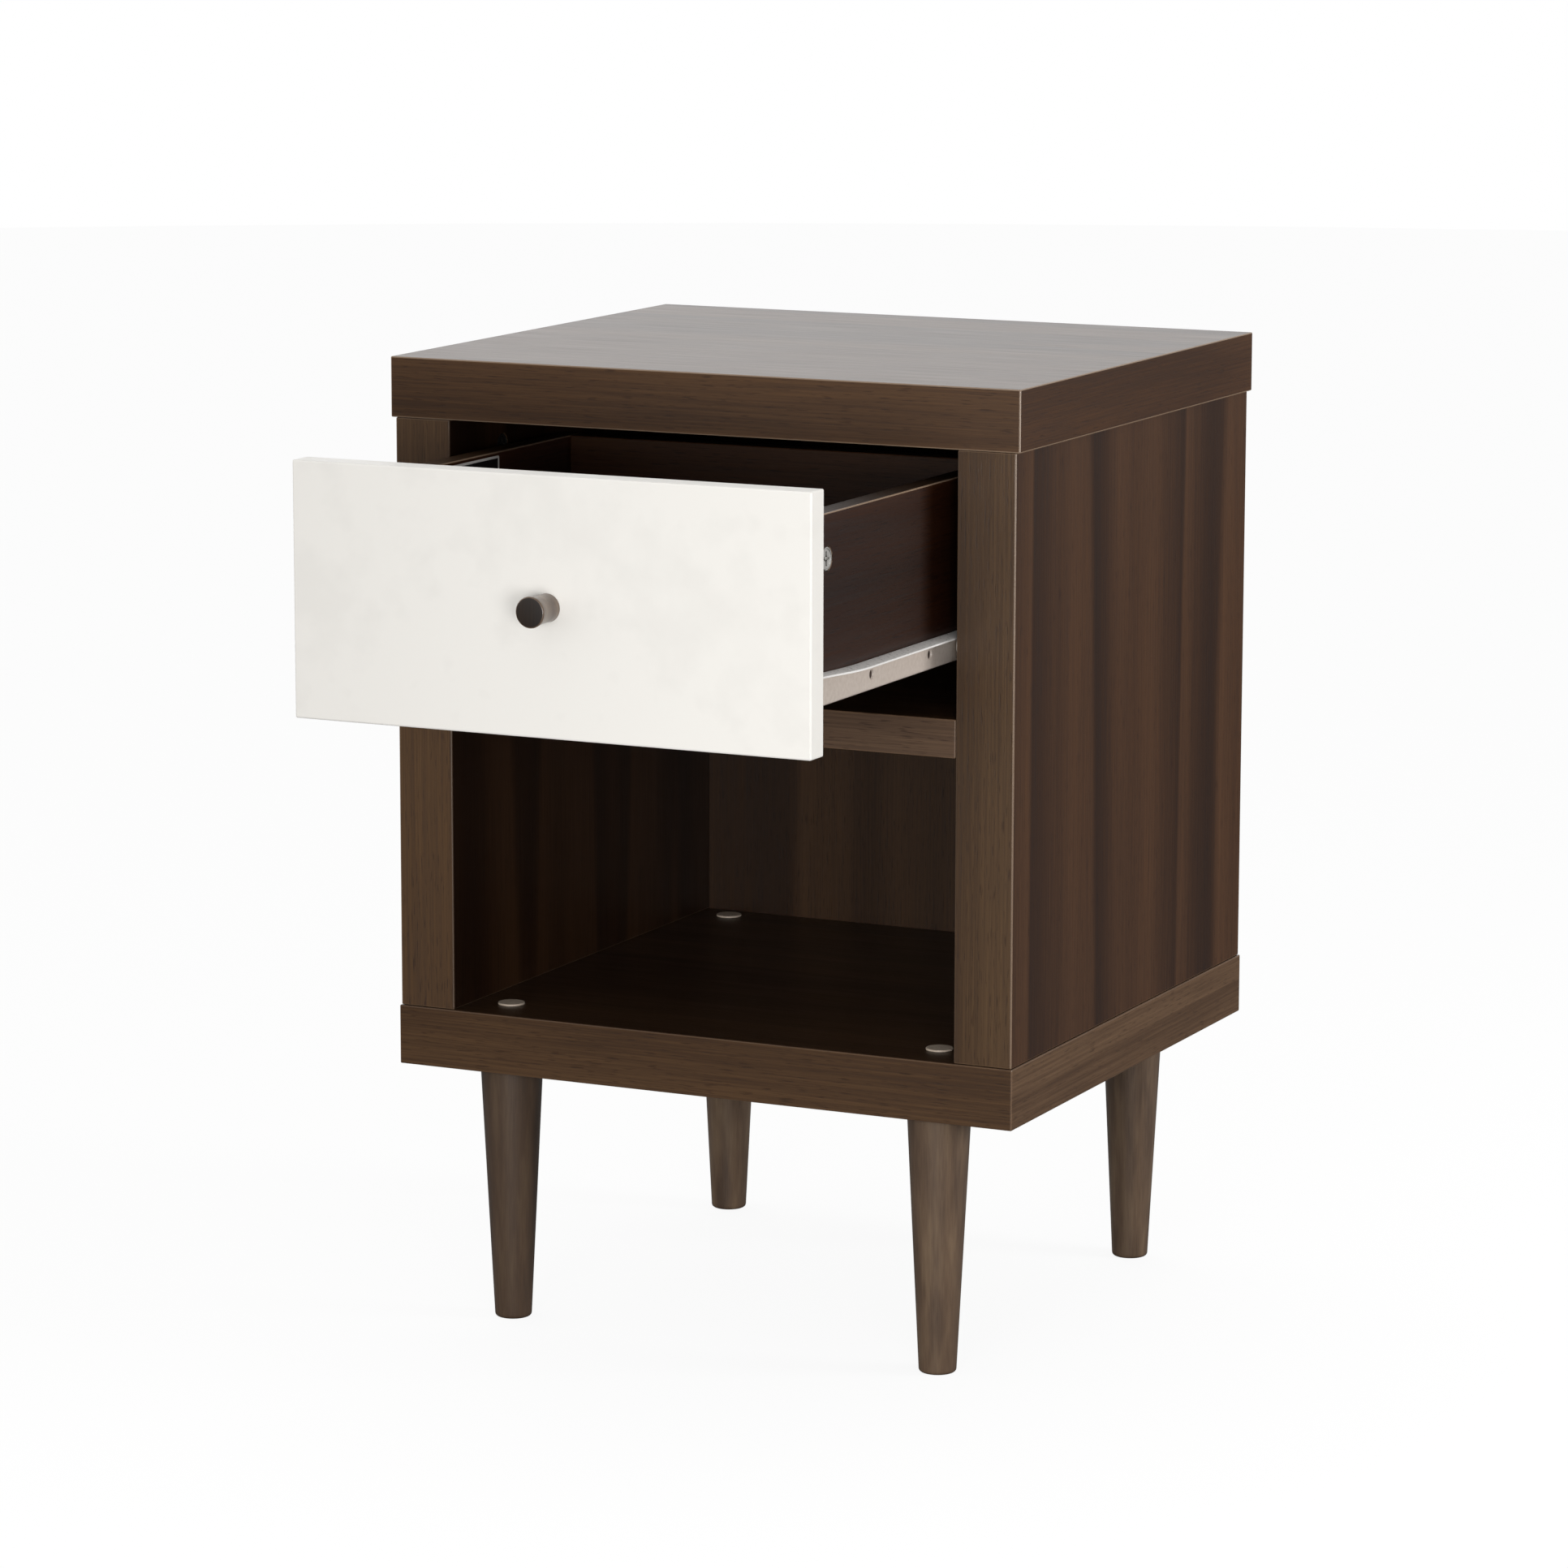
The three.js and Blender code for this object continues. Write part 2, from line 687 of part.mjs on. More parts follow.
const lipTop = drawerSideLow + lipHeight;
const lipUnderside = lipTop - slideSteel;
const channelHigh = lipUnderside - lipClearance - slideSteel;
const channelLow = channelHigh - 2 * (rollerRadius + rollerPlay);
const railFootHigh = drawerSideLow - seat;

const drawerRailFront = drawerSideFront;
const drawerRailRear = drawerRailFront + slideLength;
const rearRoller = { y: drawerRailRear - rollerEndInset, z: (channelHigh + channelLow) / 2 };
const cabinetRailFront = drawerFrontBack + slideFrontGap;
const cabinetRailRear = rearRoller.y + rollerRadius + stopClearance + slideSteel;
const frontRoller = {
  y: cabinetRailFront + rollerFrontInset,
  z: lipUnderside - rollerPlay - rollerRadius,
};
const upperFlangeFront = frontRoller.y + rollerRadius + lipClearance;
const openStopFront = rearRoller.y - drawerTravel - rollerRadius - stopClearance;

// A nylon roller with a bore, its axis across the table.
function roller(side, inner, place) {
  const bore = axleRadius + holeGap;
  return turned(
    [
      [bore, 0],
      [rollerRadius - rollerEase, 0],
      [rollerRadius, rollerEase],
      [rollerRadius, rollerWidth - rollerEase],
      [rollerRadius - rollerEase, rollerWidth],
      [bore, rollerWidth],
      [bore, 0],
    ],
    [side, 0, 0],
    [side * inner, place.y, place.z],
    rollerSides,
  );
}

// An axle riveted to a rail's web, with a head that keeps the roller on.
function axle(side, web, tip, place) {
  const at = (x) => [side * x, place.y, place.z];
  const headFoot = tip + Math.sign(web - tip) * axleHeadLength;
  return joined([rod(axleRadius, at(web), at(tip)), rod(axleHeadRadius, at(headFoot), at(tip))]);
}

for (const [hand, side] of Object.entries(hands)) {
  const plate = (x0, x1, y0, y1, z0, z1) => block([side * x0, y0, z0], [side * x1, y1, z1]);

  // Drawer's rail: it wraps the lower edge of the drawer side, and its lip runs on the front roller.
  const rearInner = drawerWebOut + rollerSideGap;
  const rearTip = rearInner + rollerWidth + holeGap + axleHeadLength;
  const railHoles = Array.from({ length: railHoleCount }, (_, i) => {
    const y = drawerRailFront + railHoleInset + i * railHolePitch;
    const z = (lipTop + drawerSideLow) / 2;
    return rod(
      railHoleRadius,
      [side * (drawerWebIn - seat), y, z],
      [side * (drawerWebOut + seat), y, z],
    );
  });
  const drawerRail = joined([
    plate(drawerWebIn, drawerWebOut, drawerRailFront, drawerRailRear, railFootHigh - slideSteel, lipTop),
    plate(drawerWebIn, drawerWebOut + lipReach, drawerRailFront, drawerRailRear, lipUnderside, lipTop),
    plate(
      drawerWebOut - railFootReach,
      drawerWebOut,
      drawerRailFront,
      drawerRailRear,
      railFootHigh - slideSteel,
      railFootHigh,
    ),
    axle(side, drawerWebIn + slideSteel / 2, rearTip, rearRoller),
  ]);
  addPiece(drawer, `drawer_rail_${hand}`, 'railEnamel', cut(drawerRail, railHoles), [
    side * drawerWebIn,
    drawerRailFront,
    lipTop,
  ]);
  addPiece(drawer, `rear_roller_${hand}`, 'nylon', roller(side, rearInner, rearRoller), [
    side * rearInner,
    rearRoller.y,
    rearRoller.z,
  ]);

  // Cabinet rail: a channel for the rear roller, closed by a stop at each end of the travel.
  const frontInner = cabinetWebIn - rollerSideGap - rollerWidth;
  const frontTip = frontInner - holeGap - axleHeadLength;
  const wallHoles = [cabinetRailFront + cabinetRailHoleInset, cabinetRailRear - cabinetRailHoleInset].map((y) => (
    rod(
      cabinetRailHoleRadius,
      [side * (cabinetWebIn - seat), y, rearRoller.z],
      [side * (cabinetWebOut + seat), y, rearRoller.z],
    )
  ));
  const cabinetRail = joined([
    plate(
      cabinetWebIn,
      cabinetWebOut,
      cabinetRailFront,
      cabinetRailRear,
      channelLow - slideSteel,
      channelHigh + slideSteel,
    ),
    plate(flangeIn, cabinetWebOut, cabinetRailFront, cabinetRailRear, channelLow - slideSteel, channelLow),
    plate(flangeIn, cabinetWebOut, upperFlangeFront, cabinetRailRear, channelHigh, channelHigh + slideSteel),
    plate(flangeIn, cabinetWebOut, cabinetRailRear - slideSteel, cabinetRailRear, channelLow, channelHigh),
    plate(
      flangeIn,
      cabinetWebOut,
      openStopFront - slideSteel,
      openStopFront,
      channelLow,
      channelLow + stopHeight,
    ),
    axle(side, cabinetWebIn + slideSteel / 2, frontTip, frontRoller),
  ]);
  addPiece(cabinet, `cabinet_rail_${hand}`, 'railEnamel', cut(cabinetRail, wallHoles), [
    side * cabinetWebOut,
    cabinetRailFront,
    channelLow,
  ]);
  addPiece(cabinet, `front_roller_${hand}`, 'nylon', roller(side, frontInner, frontRoller), [
    side * frontInner,
    frontRoller.y,
    frontRoller.z,
  ]);
}

// ---------------------------------------------------------------- the whole table

drawer.position.y = -drawnOut;

// The middle of the whole box, drawn-out drawer and knob included, comes to x = y = 0.
const foremost = boardFront - seat - knobLength - drawnOut;
table.position.y = -(foremost + tableDepth) / 2;

export default table;
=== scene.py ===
import math

import bmesh
import bpy
from mathutils import Matrix, Vector


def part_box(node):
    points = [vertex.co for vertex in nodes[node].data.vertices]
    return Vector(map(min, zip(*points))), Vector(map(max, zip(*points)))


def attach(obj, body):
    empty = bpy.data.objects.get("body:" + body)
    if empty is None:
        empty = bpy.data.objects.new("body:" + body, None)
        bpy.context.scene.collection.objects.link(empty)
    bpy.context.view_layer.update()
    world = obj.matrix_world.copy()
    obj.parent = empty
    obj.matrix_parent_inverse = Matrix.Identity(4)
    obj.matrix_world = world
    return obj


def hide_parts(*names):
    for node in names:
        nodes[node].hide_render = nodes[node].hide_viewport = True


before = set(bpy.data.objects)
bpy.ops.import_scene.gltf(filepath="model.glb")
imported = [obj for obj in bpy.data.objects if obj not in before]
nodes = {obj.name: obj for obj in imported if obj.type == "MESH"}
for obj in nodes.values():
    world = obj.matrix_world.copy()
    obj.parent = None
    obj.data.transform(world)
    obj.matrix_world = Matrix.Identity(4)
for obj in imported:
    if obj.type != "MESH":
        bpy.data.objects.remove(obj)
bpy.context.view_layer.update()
mm = 0.001
print("frame loaded:", len(nodes), "nodes")

# camera, on a tripod in front of the table and to its right
shot = {
    "aim": (86.4, -136.1, 397.7),  # middle of the view, mm
    "distance": 3700,
    "azimuth": 25.623,
    "elevation": 10.179,
    "roll": 0.099,
    "lens": 134.15,
    "sensor": 36.0,
    "near": 0.05,  # clipping, in metres
    "far": 60,
}


def standCamera():
    turn, lift, roll = (math.radians(shot[key]) for key in ("azimuth", "elevation", "roll"))
    level = Vector((math.cos(turn), math.sin(turn), 0))
    back = Vector((math.sin(turn) * math.cos(lift), -math.cos(turn) * math.cos(lift), math.sin(lift)))
    right = Matrix.Rotation(roll, 3, back) @ level
    lens = bpy.data.cameras.new("tripodCamera")
    lens.lens = shot["lens"]
    lens.sensor_width = shot["sensor"]
    lens.clip_start = shot["near"]
    lens.clip_end = shot["far"]
    camera = bpy.data.objects.new("tripodCamera", lens)
    axes = Matrix((right, back.cross(right), back)).transposed()
    place = (Vector(shot["aim"]) + back * shot["distance"]) * mm
    camera.matrix_world = Matrix.Translation(place) @ axes.to_4x4()
    bpy.context.scene.collection.objects.link(camera)
    bpy.context.scene.camera = camera


def linear(hexText):
    # sRGB hex to the linear colour that a shader takes
    parts = [int(hexText[i:i + 2], 16) / 255 for i in (1, 3, 5)]
    return [p / 12.92 if p <= 0.04045 else ((p + 0.055) / 1.055) ** 2.4 for p in parts] + [1.0]


def addNode(tree, kind, inputs=(), stops=(), **settings):
    # one node; inputs are {socket: value or link}, stops are a ramp's (place, colour or grey)
    node = tree.nodes.new(kind)
    for name, value in settings.items():
        setattr(node, name, value)
    for socket, value in dict(inputs).items():
        if isinstance(value, bpy.types.NodeSocket):
            tree.links.new(value, node.inputs[socket])
        else:
            node.inputs[socket].default_value = value
    for i, (place, colour) in enumerate(stops):
        element = node.color_ramp.elements[i] if i < 2 else node.color_ramp.elements.new(place)
        element.position = place
        element.color = linear(colour) if isinstance(colour, str) else (colour, colour, colour, 1)
    return node


def maths(tree, operation, *values):
    return addNode(tree, "ShaderNodeMath", dict(enumerate(values)), operation=operation).outputs[0]


def vectorMaths(tree, operation, *values):
    return addNode(tree, "ShaderNodeVectorMath", dict(enumerate(values)), operation=operation).outputs[0]


def newMaterial(name, **surface):
    material = bpy.data.materials.new(name)
    material.use_nodes = True
    tree = material.node_tree
    shader = tree.nodes["Principled BSDF"]
    for socket, value in surface.items():
        shader.inputs[socket.replace("_", " ")].default_value = value
    return material, tree, shader


noiseSpan = {"From Min": 0.3, "From Max": 0.7}  # where most of a noise's values lie


def glossOf(tree, pattern, start, end):
    # roughness that goes from start to end as the noise rises
    return addNode(tree, "ShaderNodeMapRange", {
        "Value": pattern, **noiseSpan, "To Min": start, "To Max": end,
    }).outputs[0]


def finishSurface(tree, shader, colour, roughness, height, bumpDepth):
    # plugs the patterns in; bumpDepth is in mm
    bump = addNode(tree, "ShaderNodeBump", {"Strength": 1.0, "Distance": bumpDepth * mm, "Height": height})
    tree.links.new(colour, shader.inputs["Base Color"])
    tree.links.new(roughness, shader.inputs["Roughness"])
    tree.links.new(bump.outputs[0], shader.inputs["Normal"])


# walnut-look foil: printed grain pressed onto chipboard, satin, with a grey sheen at low angles
foil = {
    "dark": "#271810",
    "middle": "#402a19",
    "light": "#63472f",
    "edge": "#8c7662",  # the eased edges are paler: partly a pale worn edge, partly a painted highlight where the sheen catches the rounded rim
    "roughness": 0.36,
    "figureLength": 4200,  # broad figure, along and across the grain, mm
    "figureWidth": 190,
    "figureCount": 7,
    "toneWidth": 42,
    "calm": 0.4,  # what the figure adds on average
    "fibreLength": 90,
    "fibreWidth": 1.3,
    "poreLength": 14,
    "poreWidth": 1.0,  # real pores are finer; this is as coarse as shows
    "edgeLine": 1.0,  # width of the pale line on each side of a front corner, mm
    "bandSteps": [(0.0, 0.1), (0.22, 0.35), (0.6, 0.8), (0.88, 0.95), (1.0, 0.1)],  # one ring, outwards
    "poreSteps": [(0.60, 0.0), (0.72, 1.0)],
    "base": 0.02,  # the shares below add up on this
    "bandShare": 0.34,
    "toneShare": 0.42,
    "fibreShare": 0.42,
    "poreShare": 0.16,
    "darkAt": 0.28,
    "middleAt": 0.56,
    "lightAt": 0.85,
    "glossSpread": 0.05,
    "poreDepth": 0.8,  # against the fibre's height
    "easeStart": 0.985,  # largest part of the normal where an edge starts to round
    "easeFull": 0.93,
    "endFacing": 0.8,  # how squarely a face looks along the grain to count as an end
    "innerReach": 50,  # an inner face is at least this far from the table's middle, mm
    "bump": 0.03,
}
grainOrder = {"X": "XYZ", "Y": "YXZ", "Z": "ZXY"}
endOrder = {"X": "YXZ", "Y": "ZXY", "Z": "YXZ"}  # a board's end face runs its lines the other way

# each board's grain; how bright its faces are painted across the width, the depth and the height,
# as one share or as red, green and blue, which is painted light and shade for faces turned each
# way; how much darker its faces turned to the cubby are painted, as painted shade; how strong its
# broad figure is; and how pale its eased edges and its front corners are
boards = {
    "top_panel": {
        "grain": "X", "paintedFaceLight": ((0.86, 0.76, 0.67), (1.05, 1.04, 0.95), 1.0), "figure": 0.5,
        "edge": 1.0, "corner": 0.2,
    },
    "base_panel": {
        "grain": "X", "paintedFaceLight": ((1.5, 1.75, 2.1), (1.13, 1.22, 1.27), 0.6), "figure": 0.35,
        "edge": 0.12, "corner": 0.05,
    },
    "divider_shelf": {"grain": "X", "paintedFaceLight": (1.0, (1.35, 1.6, 2.1), 1.0), "figure": 0.35, "edge": 0.2},
    "left_side_panel": {
        "grain": "Z", "paintedFaceLight": ((0.69, 0.61, 0.58), (1.95, 2.3, 2.5), 1.0), "cubbyShade": 0.6,
        "edge": 0.25, "corner": 0.42,
    },
    "right_side_panel": {
        "grain": "Z", "paintedFaceLight": ((0.69, 0.61, 0.58), (1.2, 1.38, 1.48), 1.0), "cubbyShade": 0.6,
        "edge": 0.25, "corner": 0.42,
    },
    "back_panel": {"grain": "Z", "paintedFaceLight": (0.55, 0.55, 0.55)},
    "drawer_bottom": {"grain": "X", "paintedFaceLight": (0.6, 0.6, 0.6)},
    "drawer_left_side": {"grain": "Y", "paintedFaceLight": ((0.47, 0.3, 0.22), 0.5, 0.3), "figure": 1.5, "edge": 1.0},
    "drawer_right_side": {"grain": "Y", "paintedFaceLight": ((0.47, 0.3, 0.22), 0.5, 0.3), "figure": 1.5, "edge": 1.0},
    "drawer_back": {"grain": "X", "paintedFaceLight": (0.5, (0.6, 0.48, 0.45), 0.3), "edge": 0.0},
}


def grainSpace(tree, grain):
    # metres along the grain, then the two ways across it
    place = addNode(tree, "ShaderNodeTexCoord")
    spot = addNode(tree, "ShaderNodeSeparateXYZ", {0: place.outputs["Object"]}).outputs
    facing = addNode(tree, "ShaderNodeSeparateXYZ", {0: place.outputs["Normal"]}).outputs
    side = addNode(tree, "ShaderNodeCombineXYZ", {i: spot[axis] for i, axis in enumerate(grainOrder[grain])})
    end = addNode(tree, "ShaderNodeCombineXYZ", {i: spot[axis] for i, axis in enumerate(endOrder[grain])})
    isEnd = maths(tree, "GREATER_THAN", maths(tree, "ABSOLUTE", facing[grain]), foil["endFacing"])
    mixed = {0: isEnd, 4: side.outputs[0], 5: end.outputs[0]}
    chosen = addNode(tree, "ShaderNodeMix", mixed, data_type="VECTOR").outputs[1]
    return chosen, spot, place.outputs["Normal"]


def stretchedNoise(tree, space, length, width, **settings):
    # noise whose grains are length mm along the grain and width mm across it
    scaled = vectorMaths(tree, "MULTIPLY", space, (1000 / length, 1000 / width, 1000 / width))
    inputs = {"Vector": scaled, "Scale": 1.0, **settings}
    return addNode(tree, "ShaderNodeTexNoise", inputs).outputs["Fac"]


def evenNoise(tree, grain, detail):
    # noise whose grains are grain mm across, alike in every direction
    place = addNode(tree, "ShaderNodeTexCoord").outputs["Object"]
    inputs = {"Vector": place, "Scale": 1000 / grain, "Detail": detail}
    return addNode(tree, "ShaderNodeTexNoise", inputs).outputs["Fac"]


def easedEdge(tree, normal):
    # the normal's three parts, and 1 on a rounded edge, where the largest of them drops, 0 on the flats
    flat = vectorMaths(tree, "ABSOLUTE", normal)
    part = addNode(tree, "ShaderNodeSeparateXYZ", {0: flat}).outputs
    most = maths(tree, "MAXIMUM", maths(tree, "MAXIMUM", part[0], part[1]), part[2])
    span = {"From Min": foil["easeStart"], "From Max": foil["easeFull"], "To Min": 0.0, "To Max": 1.0}
    return part, addNode(tree, "ShaderNodeMapRange", {"Value": most, **span}).outputs[0]


def frontCorner(tree, spot, node):
    # 1 within a thin line of the board's two upright front corners
    low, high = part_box(node)
    reach = max(abs(low.x), high.x) - foil["edgeLine"] * mm
    depth = low.y + foil["edgeLine"] * mm
    nearSide = maths(tree, "GREATER_THAN", maths(tree, "ABSOLUTE", spot["X"]), reach)
    nearFront = maths(tree, "LESS_THAN", spot["Y"], depth)
    return maths(tree, "MULTIPLY", nearSide, nearFront)


def turnedIn(tree, spot, normal):
    # 1 on an upright face that looks towards the middle of the table, 0 on the others
    across = addNode(tree, "ShaderNodeSeparateXYZ", {0: normal}).outputs["X"]
    return maths(tree, "LESS_THAN", maths(tree, "MULTIPLY", spot["X"], across), -foil["innerReach"] * mm)


def walnutFoil(node, grain, paintedFaceLight, figure=1.0, edge=0.0, corner=0.0, cubbyShade=1.0):
    material, tree, shader = newMaterial("walnutFoil." + node, IOR=1.4)
    space, spot, normal = grainSpace(tree, grain)
    swell = stretchedNoise(tree, space, foil["figureLength"], foil["figureWidth"], Detail=1.0)
    ring = maths(tree, "FRACT", maths(tree, "MULTIPLY", swell, foil["figureCount"]))
    band = addNode(tree, "ShaderNodeValToRGB", {0: ring}, foil["bandSteps"]).outputs[0]
    tone = stretchedNoise(tree, space, foil["figureLength"], foil["toneWidth"], Detail=2.0)
    fibre = stretchedNoise(tree, space, foil["fibreLength"], foil["fibreWidth"], Detail=4.0, Roughness=0.6)
    pore = stretchedNoise(tree, space, foil["poreLength"], foil["poreWidth"], Detail=1.0)
    pit = addNode(tree, "ShaderNodeValToRGB", {0: pore}, foil["poreSteps"]).outputs[0]

    total = foil["base"] + foil["calm"] * (1 - figure)
    shares = (
        (band, foil["bandShare"] * figure),
        (tone, foil["toneShare"] * figure),
        (fibre, foil["fibreShare"]),
        (pit, -foil["poreShare"]),
    )
    for pattern, share in shares:
        total = maths(tree, "MULTIPLY_ADD", pattern, share, total)
    shades = [(foil[tint + "At"], foil[tint]) for tint in ("dark", "light", "middle")]
    grainColour = addNode(tree, "ShaderNodeValToRGB", {0: total}, shades).outputs[0]
    part, eased = easedEdge(tree, normal)
    # painted light and shade: each face's colour is scaled by how the face is turned, across the width, the
    # depth or the height
    level = (0.0, 0.0, 0.0)
    for share, shade in zip(part, paintedFaceLight):
        tint = shade if isinstance(shade, tuple) else (shade, shade, shade)
        level = vectorMaths(tree, "MULTIPLY_ADD", share, tint, level)
    # painted shade: faces turned to the cubby are darkened
    inner = addNode(tree, "ShaderNodeMapRange", {
        "Value": turnedIn(tree, spot, normal), "To Min": 1.0, "To Max": cubbyShade,
    }).outputs[0]
    lit = addNode(tree, "ShaderNodeVectorMath", {0: level, "Scale": inner}, operation="SCALE").outputs[0]
    toned = vectorMaths(tree, "MULTIPLY", grainColour, lit)
    # pale eased edges: partly a pale worn edge, partly a painted highlight of the sheen on the rim
    pale = maths(tree, "MULTIPLY", eased, edge)
    line = maths(tree, "MULTIPLY_ADD", frontCorner(tree, spot, node), corner, pale)
    mixed = {0: line, 6: toned, 7: linear(foil["edge"])}
    colour = addNode(tree, "ShaderNodeMix", mixed, data_type="RGBA").outputs[2]
    dull, shiny = foil["roughness"] + foil["glossSpread"], foil["roughness"] - foil["glossSpread"]
    sheen = glossOf(tree, fibre, dull, shiny)
    height = maths(tree, "MULTIPLY_ADD", pit, -foil["poreDepth"], fibre)
    finishSurface(tree, shader, colour, sheen, height, foil["bump"])
    return material


lacquer = {
    "colour": "#f3f0ea",
    "shade": "#efece6",
    "smudgeSize": 110,
    "stainSize": 22,
    "rollerSize": 1.4,
    "shadeAt": 0.12,
    "colourAt": 0.24,
    "glossy": 0.36,
    "dull": 0.46,
    "bump": 0.02,
}


def whiteLacquer():
    # white lacquer rolled onto board: nearly even, a faint roller texture and a few soft smudges
    material, tree, shader = newMaterial("whiteRolledLacquer", IOR=1.48)
    sizes = (lacquer["smudgeSize"], lacquer["stainSize"], lacquer["rollerSize"])
    smudge, stain, roller = (evenNoise(tree, size, 2.0) for size in sizes)
    mixed = maths(tree, "MULTIPLY", smudge, stain)
    shades = [(lacquer["shadeAt"], lacquer["shade"]), (lacquer["colourAt"], lacquer["colour"])]
    paint = addNode(tree, "ShaderNodeValToRGB", {0: mixed}, shades).outputs[0]
    gloss = glossOf(tree, roller, lacquer["glossy"], lacquer["dull"])
    finishSurface(tree, shader, paint, gloss, roller, lacquer["bump"])
    return material


turning = {
    "streakLength": 70,
    "streakWidth": 9,
    "streakShare": 0.75,  # the fibre gives the rest
    "fibreLength": 40,
    "fibreWidth": 0.9,
    "darkAt": 0.35,
    "middleAt": 0.5,
    "lightAt": 0.68,
    "dull": 0.42,
    "glossy": 0.32,
    "coatRoughness": 0.22,
    "bump": 0.12,
}


def turnedWood(name, dark, middle, light, coat):
    # turned hardwood under stain and satin lacquer: upright streaks and a clear long highlight
    coating = {"Coat_Weight": coat, "Coat_Roughness": turning["coatRoughness"]}
    material, tree, shader = newMaterial(name, IOR=1.5, **coating)
    place = addNode(tree, "ShaderNodeTexCoord").outputs["Object"]
    spot = addNode(tree, "ShaderNodeSeparateXYZ", {0: place}).outputs
    space = addNode(tree, "ShaderNodeCombineXYZ", {0: spot["Z"], 1: spot["X"], 2: spot["Y"]}).outputs[0]
    streak = stretchedNoise(
        tree, space, turning["streakLength"], turning["streakWidth"], Detail=3.0, Roughness=0.55
    )
    fibre = stretchedNoise(tree, space, turning["fibreLength"], turning["fibreWidth"], Detail=3.0)
    share = turning["streakShare"]
    total = maths(tree, "MULTIPLY_ADD", fibre, 1 - share, maths(tree, "MULTIPLY", streak, share))
    shades = [(turning["darkAt"], dark), (turning["lightAt"], light), (turning["middleAt"], middle)]
    colour = addNode(tree, "ShaderNodeValToRGB", {0: total}, shades).outputs[0]
    gloss = glossOf(tree, streak, turning["dull"], turning["glossy"])
    finishSurface(tree, shader, colour, gloss, total, turning["bump"])
    return material


fine = {"detail": 3.0, "darkAt": 0.3, "lightAt": 0.7, "duller": 0.07, "glossier": 0.05}


def fineSurface(name, dark, light, roughness, grain, bumpDepth, **surface):
    # an even colour with unevenness grain mm across, in colour, gloss and height
    material, tree, shader = newMaterial(name, **surface)
    mottle = evenNoise(tree, grain, fine["detail"])
    shades = [(fine["darkAt"], dark), (fine["lightAt"], light)]
    colour = addNode(tree, "ShaderNodeValToRGB", {0: mottle}, shades).outputs[0]
    gloss = glossOf(tree, mottle, roughness + fine["duller"], roughness - fine["glossier"])
    finishSurface(tree, shader, colour, gloss, mottle, bumpDepth)
    return material


finishes = {name: walnutFoil(name, **look) for name, look in boards.items()}
finishes.update({
    "white": whiteLacquer(),
    # brown stain, wiped on and lacquered: warm, with paler streaks
    "stain": turnedWood("stainedLacqueredHardwood", "#534133", "#655140", "#79644f", coat=0.6),
    # the same stain, darker, for the front left leg
    "darkStain": turnedWood("darkerStainedHardwood", "#45362a", "#513f31", "#5f4d3c", coat=0.6),
    # the same stain where end grain drank more of it: nearly black-brown
    "endStain": turnedWood("stainedEndGrain", "#1a120d", "#251b14", "#33271d", coat=0.1),
    # plain beech, sanded: pale, dry, no lacquer
    "beech": turnedWood("sandedBeech", "#b08d62", "#c9a87c", "#dcc096", coat=0.0),
    # bright zinc on steel: cool and fairly glossy
    "zincSteel": fineSurface(
        "zincPlatedSteel", "#a9adb2", "#c8cbcf", roughness=0.30, grain=1.5, bumpDepth=0.01, Metallic=1.0
    ),
    # die-cast zinc: duller, with a faintly sandy skin
    "zincCasting": fineSurface(
        "dieCastZinc", "#a9a7a3", "#c6c4c0", roughness=0.46, grain=0.8, bumpDepth=0.03, Metallic=1.0
    ),
    # the same casting painted darker, as painted shade for the cams within the cabinet below its top; hardly
    # shiny
    "shadedCasting": fineSurface(
        "dieCastZincPaintedShade", "#54514e", "#6b6865", roughness=0.55, grain=0.8, bumpDepth=0.03, Metallic=1.0
    ),
    # baked enamel on rolled steel: off-white, smooth, even
    "enamel": fineSurface(
        "bakedEnamel", "#bfb2a7", "#cabeb4", roughness=0.35, grain=3.0, bumpDepth=0.01, IOR=1.5
    ),
    # the same enamel painted whiter, as painted light on the lip where the light falls
    "litEnamel": fineSurface(
        "enamelPaintedLight", "#efece8", "#f6f4f1", roughness=0.3, grain=3.0, bumpDepth=0.01, IOR=1.5
    ),
    # moulded nylon: waxy, slightly warm white
    "nylon": fineSurface(
        "mouldedNylon", "#e6e1d4", "#f2eee4", roughness=0.45, grain=2.0, bumpDepth=0.01, IOR=1.53
    ),
    # moulded beige plastic: fine spark texture
    "cap": fineSurface(
        "mouldedBeigePlastic", "#b3a392", "#c4b5a4", roughness=0.42, grain=1.0, bumpDepth=0.02, IOR=1.46
    ),
    # gummed paper label, blank: white border, black field
    "labelPaper": fineSurface(
        "labelPaper", "#e4e2de", "#efede9", roughness=0.6, grain=0.9, bumpDepth=0.01, IOR=1.45
    ),
    "labelInk": fineSurface(
        "labelInk", "#0c0b0b", "#151313", roughness=0.5, grain=0.9, bumpDepth=0.01, IOR=1.45
    ),
})
nodeFinish = {
    "drawer_front": "white",
    "knob": "stain",
    "leg_front": "stain",
    "leg_rear": "stain",
    "bolt_cap": "cap",
    "top_cam_bolt": "zincSteel",
    "drawer_cam_bolt": "zincSteel",
    "top_cam": "shadedCasting",
    "drawer_cam": "zincCasting",
    "divider_dowel": "beech",
    "drawer_rail": "enamel",
    "cabinet_rail": "enamel",
    "front_roller": "nylon",
    "rear_roller": "nylon",
    **{name: name for name in boards},
}


def dressNodes():
    # the longest matching start of a node's name picks its finish; the rest is plated steel
    for name, node in nodes.items():
        starts = [start for start in nodeFinish if name.startswith(start)]
        node.data.materials.clear()
        node.data.materials.append(finishes[nodeFinish[max(starts, key=len)] if starts else "zincSteel"])


dressNodes()
print("finishes made and CAD nodes dressed:", len(finishes))


